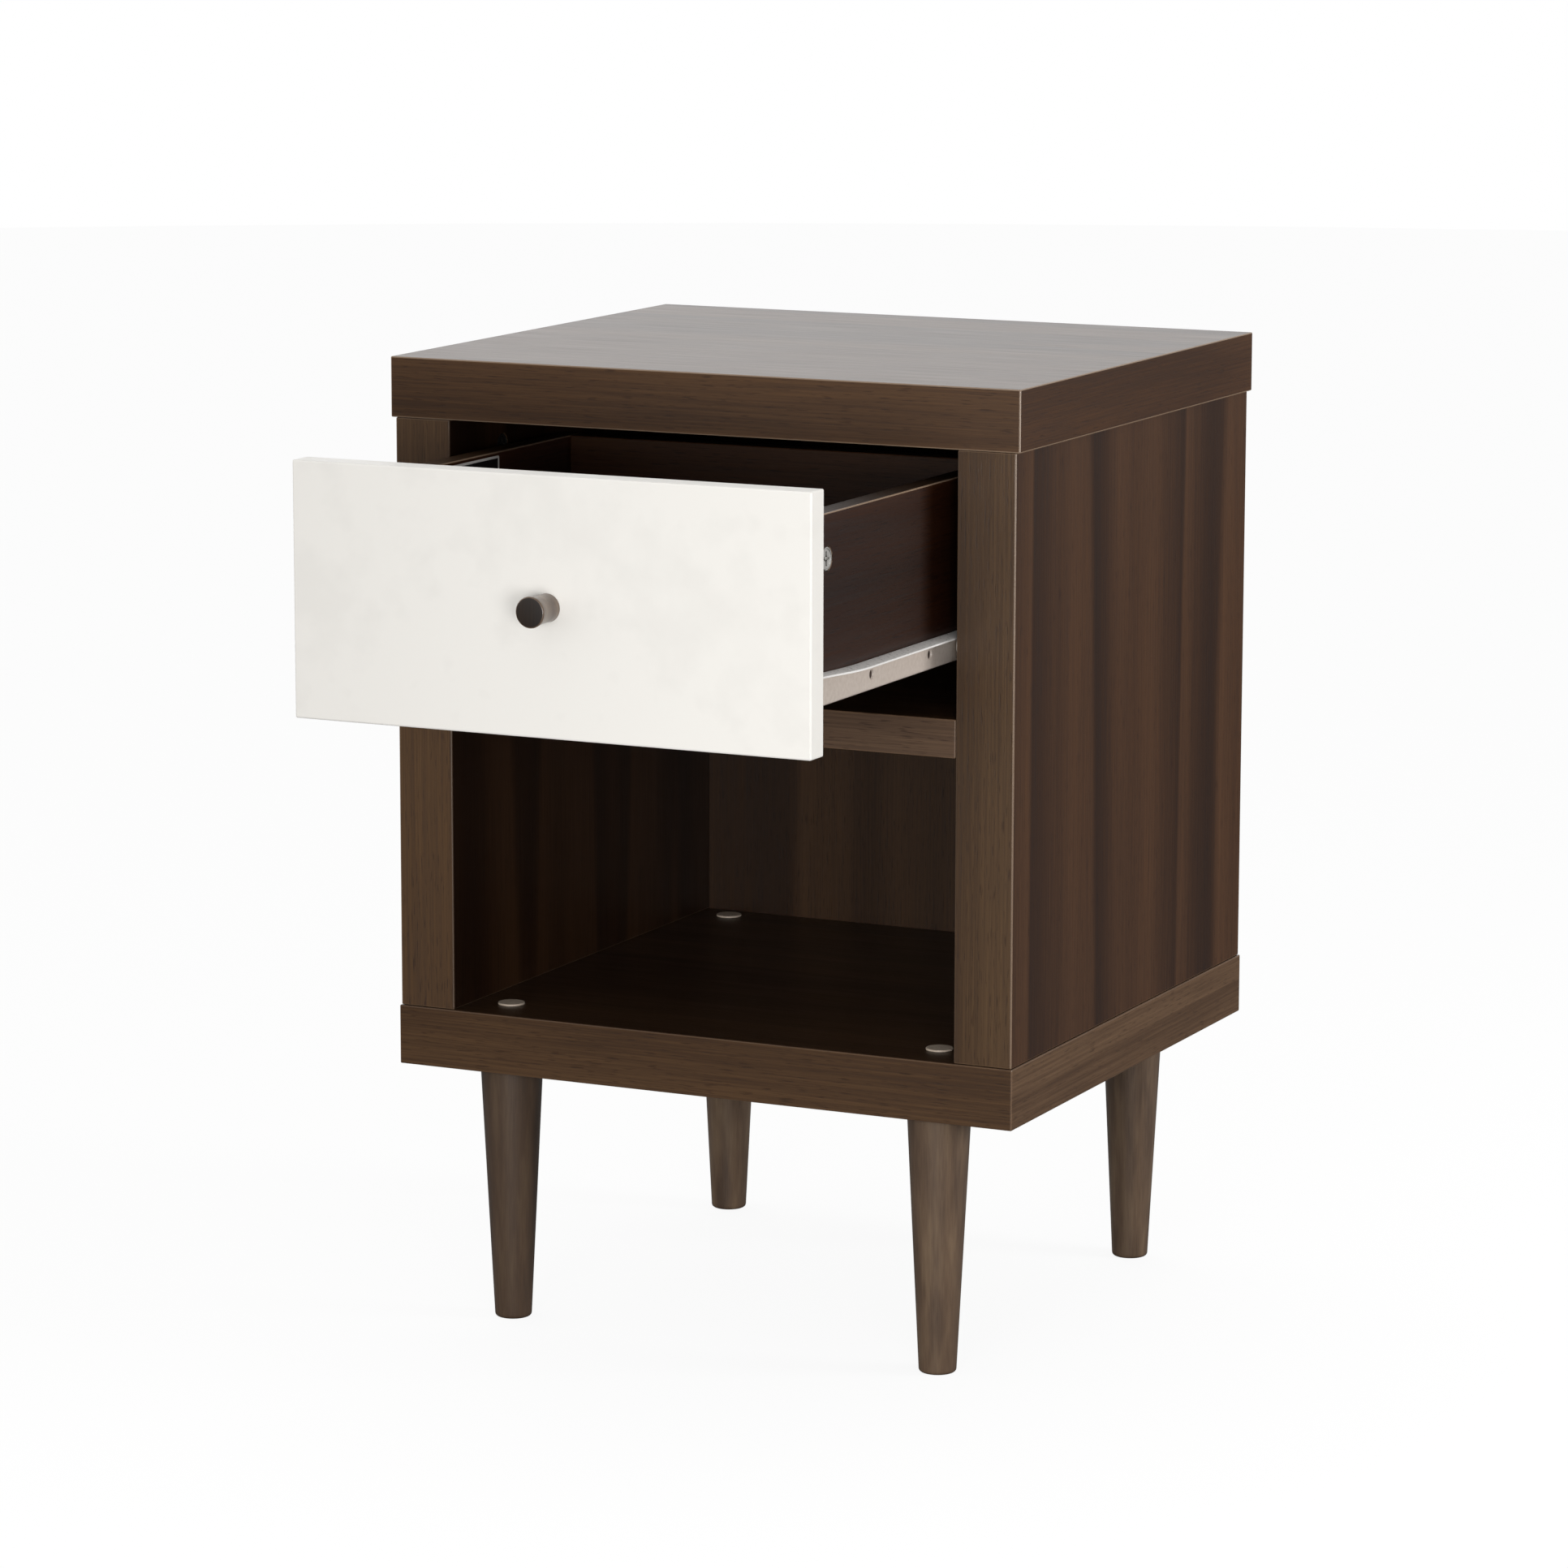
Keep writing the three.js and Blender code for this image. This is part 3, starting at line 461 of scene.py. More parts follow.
def addObject(name, form):
    # form is a bmesh; places are already in its vertices
    mesh = bpy.data.meshes.new(name)
    bmesh.ops.recalc_face_normals(form, faces=form.faces)
    form.to_mesh(mesh)
    form.free()
    piece = bpy.data.objects.new(name, mesh)
    bpy.context.scene.collection.objects.link(piece)
    return piece


def settle(piece, angle=35):
    # turns live modifiers into plain mesh, smooth but for edges sharper than angle
    bpy.context.view_layer.update()
    graph = bpy.context.evaluated_depsgraph_get()
    mesh = bpy.data.meshes.new_from_object(piece.evaluated_get(graph))
    piece.modifiers.clear()
    piece.data = mesh
    mesh.shade_smooth()
    mesh.set_sharp_from_angle(angle=math.radians(angle))
    return piece


def fit(piece, body, slot, finish, *stoodFor):
    if not piece.data.materials:
        piece.data.materials.append(finishes[finish])
    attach(piece, body)
    if stoodFor:
        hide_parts(*stoodFor)


def turnedForm(profile, sides, aim, place):
    # profile is [radius, height] pairs from axis to axis, upwards; aim turns +Z to that way
    form = bmesh.new()
    rings = []
    for radius, height in profile:
        if radius == 0:
            rings.append([form.verts.new((0, 0, height))] * sides)
            continue
        angles = [2 * math.pi * i / sides for i in range(sides)]
        rings.append([form.verts.new((radius * math.cos(a), radius * math.sin(a), height)) for a in angles])
    for below, above in zip(rings, rings[1:]):
        for i in range(sides):
            corners = (below[i], below[(i + 1) % sides], above[(i + 1) % sides], above[i])
            form.faces.new(dict.fromkeys(corners))
    turn = Vector(aim).to_track_quat("Z", "Y").to_matrix().to_4x4()
    bmesh.ops.transform(form, matrix=Matrix.Translation(place) @ turn @ Matrix.Scale(mm, 4), verts=form.verts)
    return form


def roundCorner(centre, radius, start, end, steps=6):
    # points of an arc, in degrees
    angles = [math.radians(start + (end - start) * i / steps) for i in range(steps + 1)]
    return [(centre[0] + radius * math.cos(a), centre[1] + radius * math.sin(a)) for a in angles]


def newTree(name, inputs):
    # a geometry tree with named inputs: {name: (socket kind, value)}
    tree = bpy.data.node_groups.new(name, "GeometryNodeTree")
    for title, (kind, value) in inputs.items():
        socket = tree.interface.new_socket(title, in_out="INPUT", socket_type="NodeSocket" + kind)
        if value is not None:
            socket.default_value = value
    tree.interface.new_socket("Geometry", in_out="OUTPUT", socket_type="NodeSocketGeometry")
    return tree, addNode(tree, "NodeGroupInput").outputs


def pointParts(tree):
    # x, y and z of each point
    place = addNode(tree, "GeometryNodeInputPosition").outputs[0]
    return addNode(tree, "ShaderNodeSeparateXYZ", {0: place}).outputs


def closeTree(tree, shape, finish):
    real = addNode(tree, "GeometryNodeRealizeInstances", {0: shape})
    dressed = addNode(tree, "GeometryNodeSetMaterial", {"Geometry": real.outputs[0], "Material": finish})
    addNode(tree, "NodeGroupOutput", {0: dressed.outputs[0]})


def growTree(piece, tree, **values):
    # gives the piece the tree, its inputs set by identifier, and settles the result
    modifier = piece.modifiers.new(tree.name, "NODES")
    modifier.node_group = tree
    for item in tree.interface.items_tree:
        if item.in_out == "INPUT" and item.name.replace(" ", "_") in values:
            modifier[item.identifier] = values[item.name.replace(" ", "_")]
    return settle(piece)


# legs: straight tapers turned from a blank, with a rounded foot and a hole for the insert
leg = {
    "height": 175,  # these two are only where the tree starts from: each leg's box sets its own
    "topRadius": 21,
    "footRadius": 12.3,
    "footEase": 2.2,
    "holeRadius": 6.8,
    "holeDepth": 30,
    "holeSides": 24,
    "sides": 64,
    "steps": 44,
    "crowding": 2.0,  # 1 spaces the rings evenly, more brings them together at the foot
    "darker": "leg_front_left",  # this leg is darker than the other three
}


def legTree():
    tree, size = newTree("turnedLeg", {
        "Height": ("Float", leg["height"] * mm),
        "Top Radius": ("Float", leg["topRadius"] * mm),
        "Foot Radius": ("Float", leg["footRadius"] * mm),
        "Foot Ease": ("Float", leg["footEase"] * mm),
        "Hole Radius": ("Float", leg["holeRadius"] * mm),
        "Hole Depth": ("Float", leg["holeDepth"] * mm),
        "Place": ("Vector", (0, 0, 0)),
        "Finish": ("Material", None),
    })
    blank = addNode(tree, "GeometryNodeMeshCylinder", {
        "Vertices": leg["sides"], "Side Segments": leg["steps"], "Radius": 1.0, "Depth": 1.0,
    })
    spot = pointParts(tree)
    share = maths(tree, "POWER", maths(tree, "ADD", spot["Z"], 0.5), leg["crowding"])
    level = maths(tree, "MULTIPLY", share, size["Height"])
    taper = addNode(tree, "ShaderNodeMapRange", {
        "Value": share, "To Min": size["Foot Radius"], "To Max": size["Top Radius"],
    }).outputs[0]
    # the foot's edge is a quarter circle
    ease = size["Foot Ease"]
    short = maths(tree, "MAXIMUM", maths(tree, "SUBTRACT", ease, level), 0.0)
    square = maths(tree, "SUBTRACT", maths(tree, "POWER", ease, 2.0), maths(tree, "POWER", short, 2.0))
    inset = maths(tree, "SUBTRACT", ease, maths(tree, "POWER", square, 0.5))
    radius = maths(tree, "SUBTRACT", taper, inset)
    x = maths(tree, "MULTIPLY", spot["X"], radius)
    y = maths(tree, "MULTIPLY", spot["Y"], radius)
    turned = addNode(tree, "ShaderNodeCombineXYZ", {0: x, 1: y, 2: level}).outputs[0]
    body = addNode(tree, "GeometryNodeSetPosition", {"Geometry": blank.outputs[0], "Position": turned})
    drill = addNode(tree, "GeometryNodeMeshCylinder", {
        "Vertices": leg["holeSides"],
        "Radius": size["Hole Radius"],
        "Depth": maths(tree, "MULTIPLY", size["Hole Depth"], 2.0),
    }).outputs[0]
    top = addNode(tree, "ShaderNodeCombineXYZ", {2: size["Height"]}).outputs[0]
    raised = addNode(tree, "GeometryNodeTransform", {"Geometry": drill, "Translation": top})
    drilled = addNode(
        tree,
        "GeometryNodeMeshBoolean",
        {"Mesh 1": body.outputs[0], "Mesh 2": raised.outputs[0]},
        operation="DIFFERENCE",
        solver="EXACT",
    ).outputs[0]
    stood = addNode(tree, "GeometryNodeTransform", {"Geometry": drilled, "Translation": size["Place"]})
    closeTree(tree, stood.outputs[0], size["Finish"])
    return tree


def turnLegs():
    tree = legTree()
    for end in ("front", "rear"):
        for hand in ("left", "right"):
            node = f"leg_{end}_{hand}"
            low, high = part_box(node)
            piece = addObject(f"{end}{hand.title()}TurnedLeg", bmesh.new())
            growTree(
                piece, tree, Height=high.z - low.z, Top_Radius=(high.x - low.x) / 2,
                Place=((low.x + high.x) / 2, (low.y + high.y) / 2, low.z),
                Finish=finishes["darkStain" if node == leg["darker"] else "stain"],
            )
            fit(piece, "cabinet", "stained_wood", "stain", node)


turnLegs()
print("legs turned")

# knob: a trumpet-shaped turning, narrow at the foot, with a softened rim and a faintly domed face
knob = {
    "footRadius": 9.0,
    "waistRadius": 8.2,
    "waistAt": 0.5,
    "rim": 1.0,
    "dome": 0.35,
    "hole": 2.3,
    "holeDepth": 12,
    "sides": 72,
    "neckSteps": 14,
    "domeSteps": 6,
    "endTilt": 0.94,  # how squarely a facet faces forwards to count as end grain
}


def turnKnob():
    low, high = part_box("knob")
    length = (high.y - low.y) / mm
    face = (high.x - low.x) / 2 / mm
    edge = length - knob["dome"] - knob["rim"]
    steps = knob["neckSteps"]
    neck = []
    for i in range(steps + 1):
        t = i / steps
        radius = (1 - t) ** 2 * knob["footRadius"] + 2 * t * (1 - t) * knob["waistRadius"] + t * t * face
        neck.append((radius, 2 * t * (1 - t) * knob["waistAt"] * length + t * t * edge))
    rim = roundCorner((face - knob["rim"], edge), knob["rim"], 0, 90)[1:]
    shrink = [1 - i / knob["domeSteps"] for i in range(1, knob["domeSteps"] + 1)]
    dome = [((face - knob["rim"]) * share, length - knob["dome"] * share ** 2) for share in shrink]
    hole = [(0, knob["holeDepth"]), (knob["hole"], knob["holeDepth"]), (knob["hole"], 0)]
    place = Vector(((low.x + high.x) / 2, high.y, (low.z + high.z) / 2))
    form = turnedForm(hole + neck + rim + dome, knob["sides"], (0, -1, 0), place)
    piece = settle(addObject("turnedKnob", form), angle=40)
    piece.data.materials.append(finishes["stain"])
    piece.data.materials.append(finishes["endStain"])
    for facet in piece.data.polygons:
        facet.material_index = int(facet.normal.y < -knob["endTilt"])
    fit(piece, "drawer", "stained_wood", "stain", "knob")


turnKnob()
print("knob turned")

def fixingTree():
    # puts a form at each point, its face turned in or out along the width
    tree, given = newTree("repeatedFixing", {
        "Geometry": ("Geometry", None),
        "Form": ("Object", None),
        "Outwards": ("Float", 1.0),  # 1 faces away from the middle, -1 towards it
        "Lean": ("Vector", (0, 0, 1)),  # the way the form's own +Y points
        "Finish": ("Material", None),
    })
    form = addNode(tree, "GeometryNodeObjectInfo", {"Object": given["Form"]}).outputs["Geometry"]
    side = maths(tree, "SIGN", pointParts(tree)["X"])
    facing = maths(tree, "MULTIPLY", side, given["Outwards"])
    way = addNode(tree, "ShaderNodeCombineXYZ", {0: facing}).outputs[0]
    out = addNode(tree, "FunctionNodeAlignRotationToVector", {"Vector": way}, axis="Z").outputs[0]
    lean = addNode(
        tree,
        "FunctionNodeAlignRotationToVector",
        {"Rotation": out, "Vector": given["Lean"]},
        axis="Y",
        pivot_axis="Z",
    ).outputs[0]
    placed = addNode(tree, "GeometryNodeInstanceOnPoints", {
        "Points": given["Geometry"], "Instance": form, "Rotation": lean,
    })
    closeTree(tree, placed.outputs[0], given["Finish"])
    return tree


def spread(name, tree, form, points, finish, outwards=1.0, lean=(0, 0, 1)):
    # form is modelled at the origin, facing +Z
    pattern = addObject(name + "Form", form)
    dots = bmesh.new()
    for point in points:
        dots.verts.new(point)
    piece = addObject(name, dots)
    growTree(piece, tree, Form=pattern, Outwards=outwards, Lean=lean, Finish=finishes[finish])
    bpy.data.objects.remove(pattern)
    return piece


def carve(form, *cutters):
    # cuts bmesh shapes out of a bmesh shape
    body = addObject("carved", form)
    tools = [addObject("cutter", cutter) for cutter in cutters]
    for tool in tools:
        cut = body.modifiers.new("cut", "BOOLEAN")
        cut.object = tool
        cut.solver = "EXACT"
    bpy.context.view_layer.update()
    result = bmesh.new()
    result.from_object(body, bpy.context.evaluated_depsgraph_get())
    for extra in tools + [body]:
        bpy.data.objects.remove(extra)
    return result


def bar(width, height, depth):
    form = bmesh.new()
    bmesh.ops.create_cube(form, size=1)
    size = Matrix.Diagonal((width * mm, height * mm, depth * mm, 1))
    bmesh.ops.transform(form, matrix=size, verts=form.verts)
    return form


def plug(radius, low, high):
    # profile of a plain round plug
    return [(0, low), (radius, low), (radius, high), (0, high)]


# cam locks, rail screws and leg bolt caps, in mm
cam = {
    "radius": 7.5,
    "length": 12.7,
    "bevel": 0.5,
    "rimWidth": 1.1,
    "rimDepth": 0.4,
    "crossLength": 9,
    "crossWidth": 1.7,
    "crossDepth": 4,
    "hub": 2.1,
    "hubDepth": 3,
    "hubTop": 1,
    "boltRadius": 3.9,
    "mouthStart": -4,  # the bolt's mouth, along the cam's own +Y
    "mouthEnd": 8,
    "sides": 48,
    "holeSides": 24,
}
screw = {
    "radius": 3.2,
    "height": 1.1,
    "crown": 0.35,
    "crownAngles": (0, 25, 50, 75),
    "crossLength": 3.4,
    "crossWidth": 0.75,
    "crossDepth": 1.4,
    "shank": 1.7,
    "shankLength": 9,
    "tip": 2,
    "sides": 28,
}
cap = {
    "radius": 9,
    "thickness": 1.2,
    "lip": 0.6,
    "lipSteps": 5,
    "crown": 0.15,
    "crownSteps": 4,
    "plug": 7,
    "plugDepth": 1.6,
    "sides": 56,
}


def camForm():
    radius, bevel = cam["radius"], cam["bevel"]
    floor = -cam["rimDepth"]
    inner = radius - cam["rimWidth"]
    profile = [
        (0, -cam["length"]), (radius, -cam["length"]), (radius, -bevel), (radius - bevel, 0), (inner, 0),
        (inner - cam["rimDepth"], floor), (0, floor),
    ]
    body = turnedForm(profile, cam["sides"], (0, 0, 1), (0, 0, 0))
    long, wide, deep = cam["crossLength"], cam["crossWidth"], cam["crossDepth"]
    socket = plug(cam["hub"], -cam["hubDepth"], cam["hubTop"])
    hub = turnedForm(socket, cam["holeSides"], (0, 0, 1), (0, 0, 0))
    start = (0, radius / 2 * mm, -cam["length"] / 2 * mm)
    bore = plug(cam["boltRadius"], cam["mouthStart"], cam["mouthEnd"])
    mouth = turnedForm(bore, cam["holeSides"], (0, 1, 0), start)
    return carve(body, bar(long, wide, deep), bar(wide, long, deep), hub, mouth)


def screwForm():
    # low countersunk head with a cross recess
    radius, high, end = screw["radius"], screw["crown"], -screw["shankLength"]
    angles = [math.radians(angle) for angle in screw["crownAngles"]]
    crown = [(radius * math.cos(a), high * math.sin(a)) for a in angles]
    shank = [(0, end), (screw["shank"], end + screw["tip"]), (screw["shank"], -screw["height"])]
    body = turnedForm([*shank, *crown, (0, high)], screw["sides"], (0, 0, 1), (0, 0, 0))
    long, wide, deep = screw["crossLength"], screw["crossWidth"], screw["crossDepth"]
    return carve(body, bar(long, wide, deep), bar(wide, long, deep))


def capForm():
    high, lip = cap["thickness"], cap["lip"]
    flat, steps = cap["radius"] - lip, cap["crownSteps"]
    rim = roundCorner((flat, high - lip), lip, 0, 90, cap["lipSteps"])
    edge = high - cap["crown"]
    dome = [(flat * (1 - i / steps), edge + cap["crown"] * i / steps) for i in range(1, steps + 1)]
    low = -cap["plugDepth"]
    profile = [(0, low), (cap["plug"], low), (cap["plug"], 0), (cap["radius"], 0), *rim, *dome]
    return turnedForm(profile, cap["sides"], (0, 0, 1), (0, 0, 0))


def faceCentres(names, inwards):
    # the middle of each node's face that looks towards the table's middle, or away from it
    centres = []
    for node in names:
        low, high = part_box(node)
        centre = (low + high) / 2
        centre.x = high.x if (centre.x < 0) == inwards else low.x
        centres.append(centre)
    return centres


def placeFixings():
    tree = fixingTree()
    ends = [f"{end}_{hand}" for end in ("front", "rear") for hand in ("left", "right")]
    # cams let into the inner faces of the side panels, their mouths up to the top
    topCams = [f"top_cam_{end}" for end in ends]
    faces = faceCentres(topCams, inwards=True)
    # painted shade: these cams, within the cabinet below its top, take the darker casting
    piece = spread("topCams", tree, camForm(), faces, "shadedCasting", outwards=-1.0, lean=(0, 0, 1))
    fit(piece, "cabinet", "zinc_casting", "shadedCasting", *topCams)
    # cams in the outer faces of the drawer sides, their mouths to the drawer front
    drawerCams = [f"drawer_cam_{hand}" for hand in ("left", "right")]
    faces = faceCentres(drawerCams, inwards=False)
    piece = spread("drawerCams", tree, camForm(), faces, "zincCasting", outwards=1.0, lean=(0, -1, 0))
    fit(piece, "drawer", "zinc_casting", "zincCasting", *drawerCams)
    # caps over the leg bolts, on the cubby floor
    for end in ends:
        node = f"bolt_cap_{end}"
        low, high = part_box(node)
        place = Vector(((low.x + high.x) / 2, (low.y + high.y) / 2, low.z + cap["plugDepth"] * mm))
        form = capForm()
        bmesh.ops.translate(form, vec=place, verts=form.verts)
        piece = settle(addObject("boltCap" + end.title().replace("_", ""), form))
        fit(piece, "cabinet", "cap_plastic", "cap", node)


placeFixings()
print("cams and caps placed")

# drawer rails: rolled steel, the lip raised at the front so that the drawer closes itself
rail = {
    "steel": 1.2,
    "bend": 1.5,  # outside radius of the bends
    "bendSteps": 4,
    "rollerGap": 0.4,  # between the web and the rear roller
    "rise": 2.2,  # of the lip at the front; the slope runs between these two distances from the front
    "riseStart": -15,
    "riseEnd": 65,
    "crown": 1.2,  # how much higher the lip is at the web than at its edge
    "lipFront": 5.2,
    "lipDepth": 0.4,  # what counts as lip below the top of the web, mm
    "hole": 3.3,  # dimpled holes, wider at the outer face than at the back
    "holeBack": 2.6,
    "dimpleBack": 0.3,
    "dimpleFront": 0.01,
    "holeSides": 28,
    "holePlaces": (86, 173.5, 261),
    "screwPlaces": (8, 261),
    "fixingHole": 1.9,
    "fixingSides": 20,
    "cutReach": 2,  # how far a drill goes each way
    "stations": 60,
}
axle = {"radius": 2.0, "headRadius": 3.0, "headThickness": 0.5, "headSteps": 4, "play": 0.3, "sides": 32}


def railSizes(side):
    # the sheet's middle line runs from the foot up the web to the lip; all in mm
    node = "drawer_rail_right" if side > 0 else "drawer_rail_left"
    low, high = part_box(node)
    inner, outer = sorted((abs(low.x), abs(high.x)))
    half = rail["steel"] / 2
    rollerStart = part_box("rear_roller_right")[0].x / mm
    web = rollerStart - rail["rollerGap"] - half
    bottom, top = low.z / mm + half, high.z / mm - half
    return node, inner / mm, web, low.y / mm, high.y / mm, bottom, top, outer / mm - web, rail["bend"] - half


def sectionLine(foot, web, bottom, top, reach, bend):
    # middle line of the sheet: foot, bend, web, bend, lip
    lower = roundCorner((web - bend, bottom + bend), bend, -90, 0, rail["bendSteps"])
    upper = roundCorner((web + bend, top + rail["crown"] - bend), bend, 180, 90, rail["bendSteps"])
    return [(foot, bottom), *lower, *upper, (web + reach, top)]


def thicken(line, thickness):
    # closed outline round a middle line
    sides = ([], [])
    for i, point in enumerate(line):
        before, after = Vector(line[max(i - 1, 0)]), Vector(line[min(i + 1, len(line) - 1)])
        across = (after - before).normalized().orthogonal() * thickness / 2
        sides[0].append(Vector(point) + across)
        sides[1].append(Vector(point) - across)
    return sides[0] + sides[1][::-1]


def skin(form, rings):
    # closes a row of equal outlines into one solid
    count = len(rings[0])
    for here, there in zip(rings, rings[1:]):
        for i in range(count):
            form.faces.new((here[i], here[(i + 1) % count], there[(i + 1) % count], there[i]))
    form.faces.new(rings[0])
    form.faces.new(rings[-1][::-1])
    bmesh.ops.triangulate(form, faces=[face for face in form.faces if len(face.verts) > 4])


def rollRail(side):
    node, foot, web, front, rear, bottom, top, reach, bend = railSizes(side)
    steel = rail["steel"]
    form = bmesh.new()
    rings = []
    for i in range(rail["stations"] + 1):
        along = (rear - front) * i / rail["stations"]
        t = min(max((along - rail["riseStart"]) / (rail["riseEnd"] - rail["riseStart"]), 0), 1)
        smooth = t * t * (3 - 2 * t)
        lift = rail["rise"] * (1 - smooth)
        wide = rail["lipFront"] + (reach - rail["lipFront"]) * smooth
        outline = thicken(sectionLine(foot, web, bottom, top + lift, wide, bend), steel)
        rings.append([form.verts.new((side * x * mm, (front + along) * mm, z * mm)) for x, z in outline])
    skin(form, rings)
    level = (bottom + top + steel) / 2
    through, hole, back = rail["cutReach"], rail["hole"], rail["holeBack"]
    dimple = [
        (0, -steel), (back, -steel), (back, -steel / 2 - rail["dimpleBack"]),
        (hole, steel / 2 + rail["dimpleFront"]), (hole, through), (0, through),
    ]
    drills = [(place, dimple, rail["holeSides"]) for place in rail["holePlaces"]]
    drills.append((rail["screwPlaces"][0], plug(rail["fixingHole"], -through, through), rail["fixingSides"]))
    cutters = [
        turnedForm(profile, sides, (side, 0, 0), Vector((side * web, front + place, level)) * mm)
        for place, profile, sides in drills
    ]
    name = "rolledDrawerRail" + ("Right" if side > 0 else "Left")
    piece = settle(addObject(name, carve(form, *cutters)), angle=30)
    piece.data.materials.append(finishes["enamel"])
    piece.data.materials.append(finishes["litEnamel"])
    edge = (top - rail["lipDepth"]) * mm
    # painted light: facets at the lip's height take the whiter enamel
    for facet in piece.data.polygons:
        facet.material_index = int(facet.center.z > edge)
    return piece, node, Vector((side * (web + steel / 2), front, level)) * mm


def axleForm(roller, way):
    # riveted stub with a mushroom head that keeps the roller on; way points from rail to head
    low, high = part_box(roller)
    place = (low + high) / 2
    place.x = low.x if way > 0 else high.x
    end = (high.x - low.x) / mm + axle["play"]
    thick = axle["headThickness"]
    head = roundCorner((axle["headRadius"] - thick, end), thick, 0, 90, axle["headSteps"])
    start, radius = -axle["play"], axle["radius"]
    profile = [(0, start), (radius, start), (radius, end), *head, (0, end + thick)]
    return turnedForm(profile, axle["sides"], (way, 0, 0), place)


def rollRails():
    tree = fixingTree()
    heads = []
    for side, hand in ((-1, "Left"), (1, "Right")):
        piece, node, start = rollRail(side)
        fit(piece, "drawer", "rail_enamel", "enamel", node)
        heads += [start + Vector((0, place * mm, 0)) for place in rail["screwPlaces"]]
        stub = axleForm("rear_roller_" + hand.lower(), side)
        fit(settle(addObject("rearAxle" + hand, stub)), "drawer", "zinc_steel", "zincSteel")
    piece = spread("drawerRailScrews", tree, screwForm(), heads, "zincSteel", outwards=1.0, lean=(0, 1, 1))
    fit(piece, "drawer", "zinc_steel", "zincSteel")


rollRails()
print("drawer rails rolled and screwed on")

# cabinet rails: an upright web on the side panel and a lower flange, cut back at the front
track = {
    "steel": 1.2,
    "bend": 1.5,
    "bendSteps": 4,
    "stub": 2.2,  # how far the flange reaches at the front end, mm
    "cutStart": 6,
    "cutEnd": 22,
    "screwPlaces": (40, 170, 285),
    "screwRise": 10,
    "stations": 48,
}


def rollTrack(side, node):
    low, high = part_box(node)
    inner, outer = sorted((abs(low.x) / mm, abs(high.x) / mm))
    steel = track["steel"]
    bend = track["bend"] - steel / 2
    web, floor = outer - steel / 2, low.z / mm + steel / 2
    form = bmesh.new()
    rings = []
    for i in range(track["stations"] + 1):
        along = (high.y - low.y) / mm * i / track["stations"]
        share = min(max((along - track["cutStart"]) / (track["cutEnd"] - track["cutStart"]), 0), 1)
        reach = track["stub"] + (web - inner - track["stub"]) * share
        turn = roundCorner((web - bend, floor + bend), bend, 0, -90, track["bendSteps"])
        outline = thicken([(web, high.z / mm), *turn, (web - reach, floor)], steel)
        rings.append([form.verts.new((side * x * mm, low.y + along * mm, z * mm)) for x, z in outline])
    skin(form, rings)
    screws = [
        Vector((side * (web - steel / 2) * mm, low.y + place * mm, low.z + track["screwRise"] * mm))
        for place in track["screwPlaces"]
    ]
    return form, screws


def rollTracks():
    heads = []
    for side, hand in ((-1, "Left"), (1, "Right")):
        node = "cabinet_rail_" + hand.lower()
        form, screws = rollTrack(side, node)
        heads += screws
        piece = settle(addObject("rolledCabinetRail" + hand, form), angle=30)
        fit(piece, "cabinet", "rail_enamel", "enamel", node)
        stub = axleForm("front_roller_" + hand.lower(), -side)
        fit(settle(addObject("frontAxle" + hand, stub)), "cabinet", "zinc_steel", "zincSteel")
    tree = fixingTree()
    piece = spread("cabinetRailScrews", tree, screwForm(), heads, "zincSteel", outwards=-1.0, lean=(0, 1, 1))
    fit(piece, "cabinet", "zinc_steel", "zincSteel")


rollTracks()
print("cabinet rails rolled and screwed on")

# rollers: moulded nylon wheels with soft edges and a dished hub
wheel = {"ease": 0.9, "easeSteps": 4, "bore": 2.3, "hub": 3.6, "dish": 0.6, "weld": 0.001, "sides": 64}


def mouldRollers():
    for end in ("front", "rear"):
        for hand in ("left", "right"):
            node = f"{end}_roller_{hand}"
            low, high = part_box(node)
            radius = (high.z - low.z) / 2 / mm
            width = (high.x - low.x) / mm
            ease, dish, steps = wheel["ease"], wheel["dish"], wheel["easeSteps"]
            hub, tyre = wheel["hub"], radius - ease
            inner = roundCorner((tyre, ease), ease, -90, 0, steps)
            outer = roundCorner((tyre, width - ease), ease, 0, 90, steps)
            profile = [
                (wheel["bore"], 0), (hub, 0), (hub + dish, dish), (tyre - dish, dish), *inner,
                *outer, (tyre - dish, width - dish), (hub + dish, width - dish), (hub, width),
                (wheel["bore"], width), (wheel["bore"], 0),
            ]
            place = Vector((low.x, (low.y + high.y) / 2, (low.z + high.z) / 2))
            form = turnedForm(profile, wheel["sides"], (1, 0, 0), place)
            bmesh.ops.remove_doubles(form, verts=form.verts, dist=wheel["weld"] * mm)
            piece = settle(addObject(f"{end}Roller{hand.title()}", form), angle=40)
            fit(piece, f"{node}_wheel", "nylon", "nylon", node)


mouldRollers()
print("rollers moulded")

# blank paper label on the inner face of the drawer's left side
label = {
    "length": 100,
    "height": 60,
    "border": 2.0,
    "drop": 2.5,  # below the drawer side's top
    "rearEnd": 207,  # from the drawer side's front end
    "thickness": 0.12,
    "lift": 0.02,  # off the board, so that the two don't share a face
    "corner": 1.5,
}


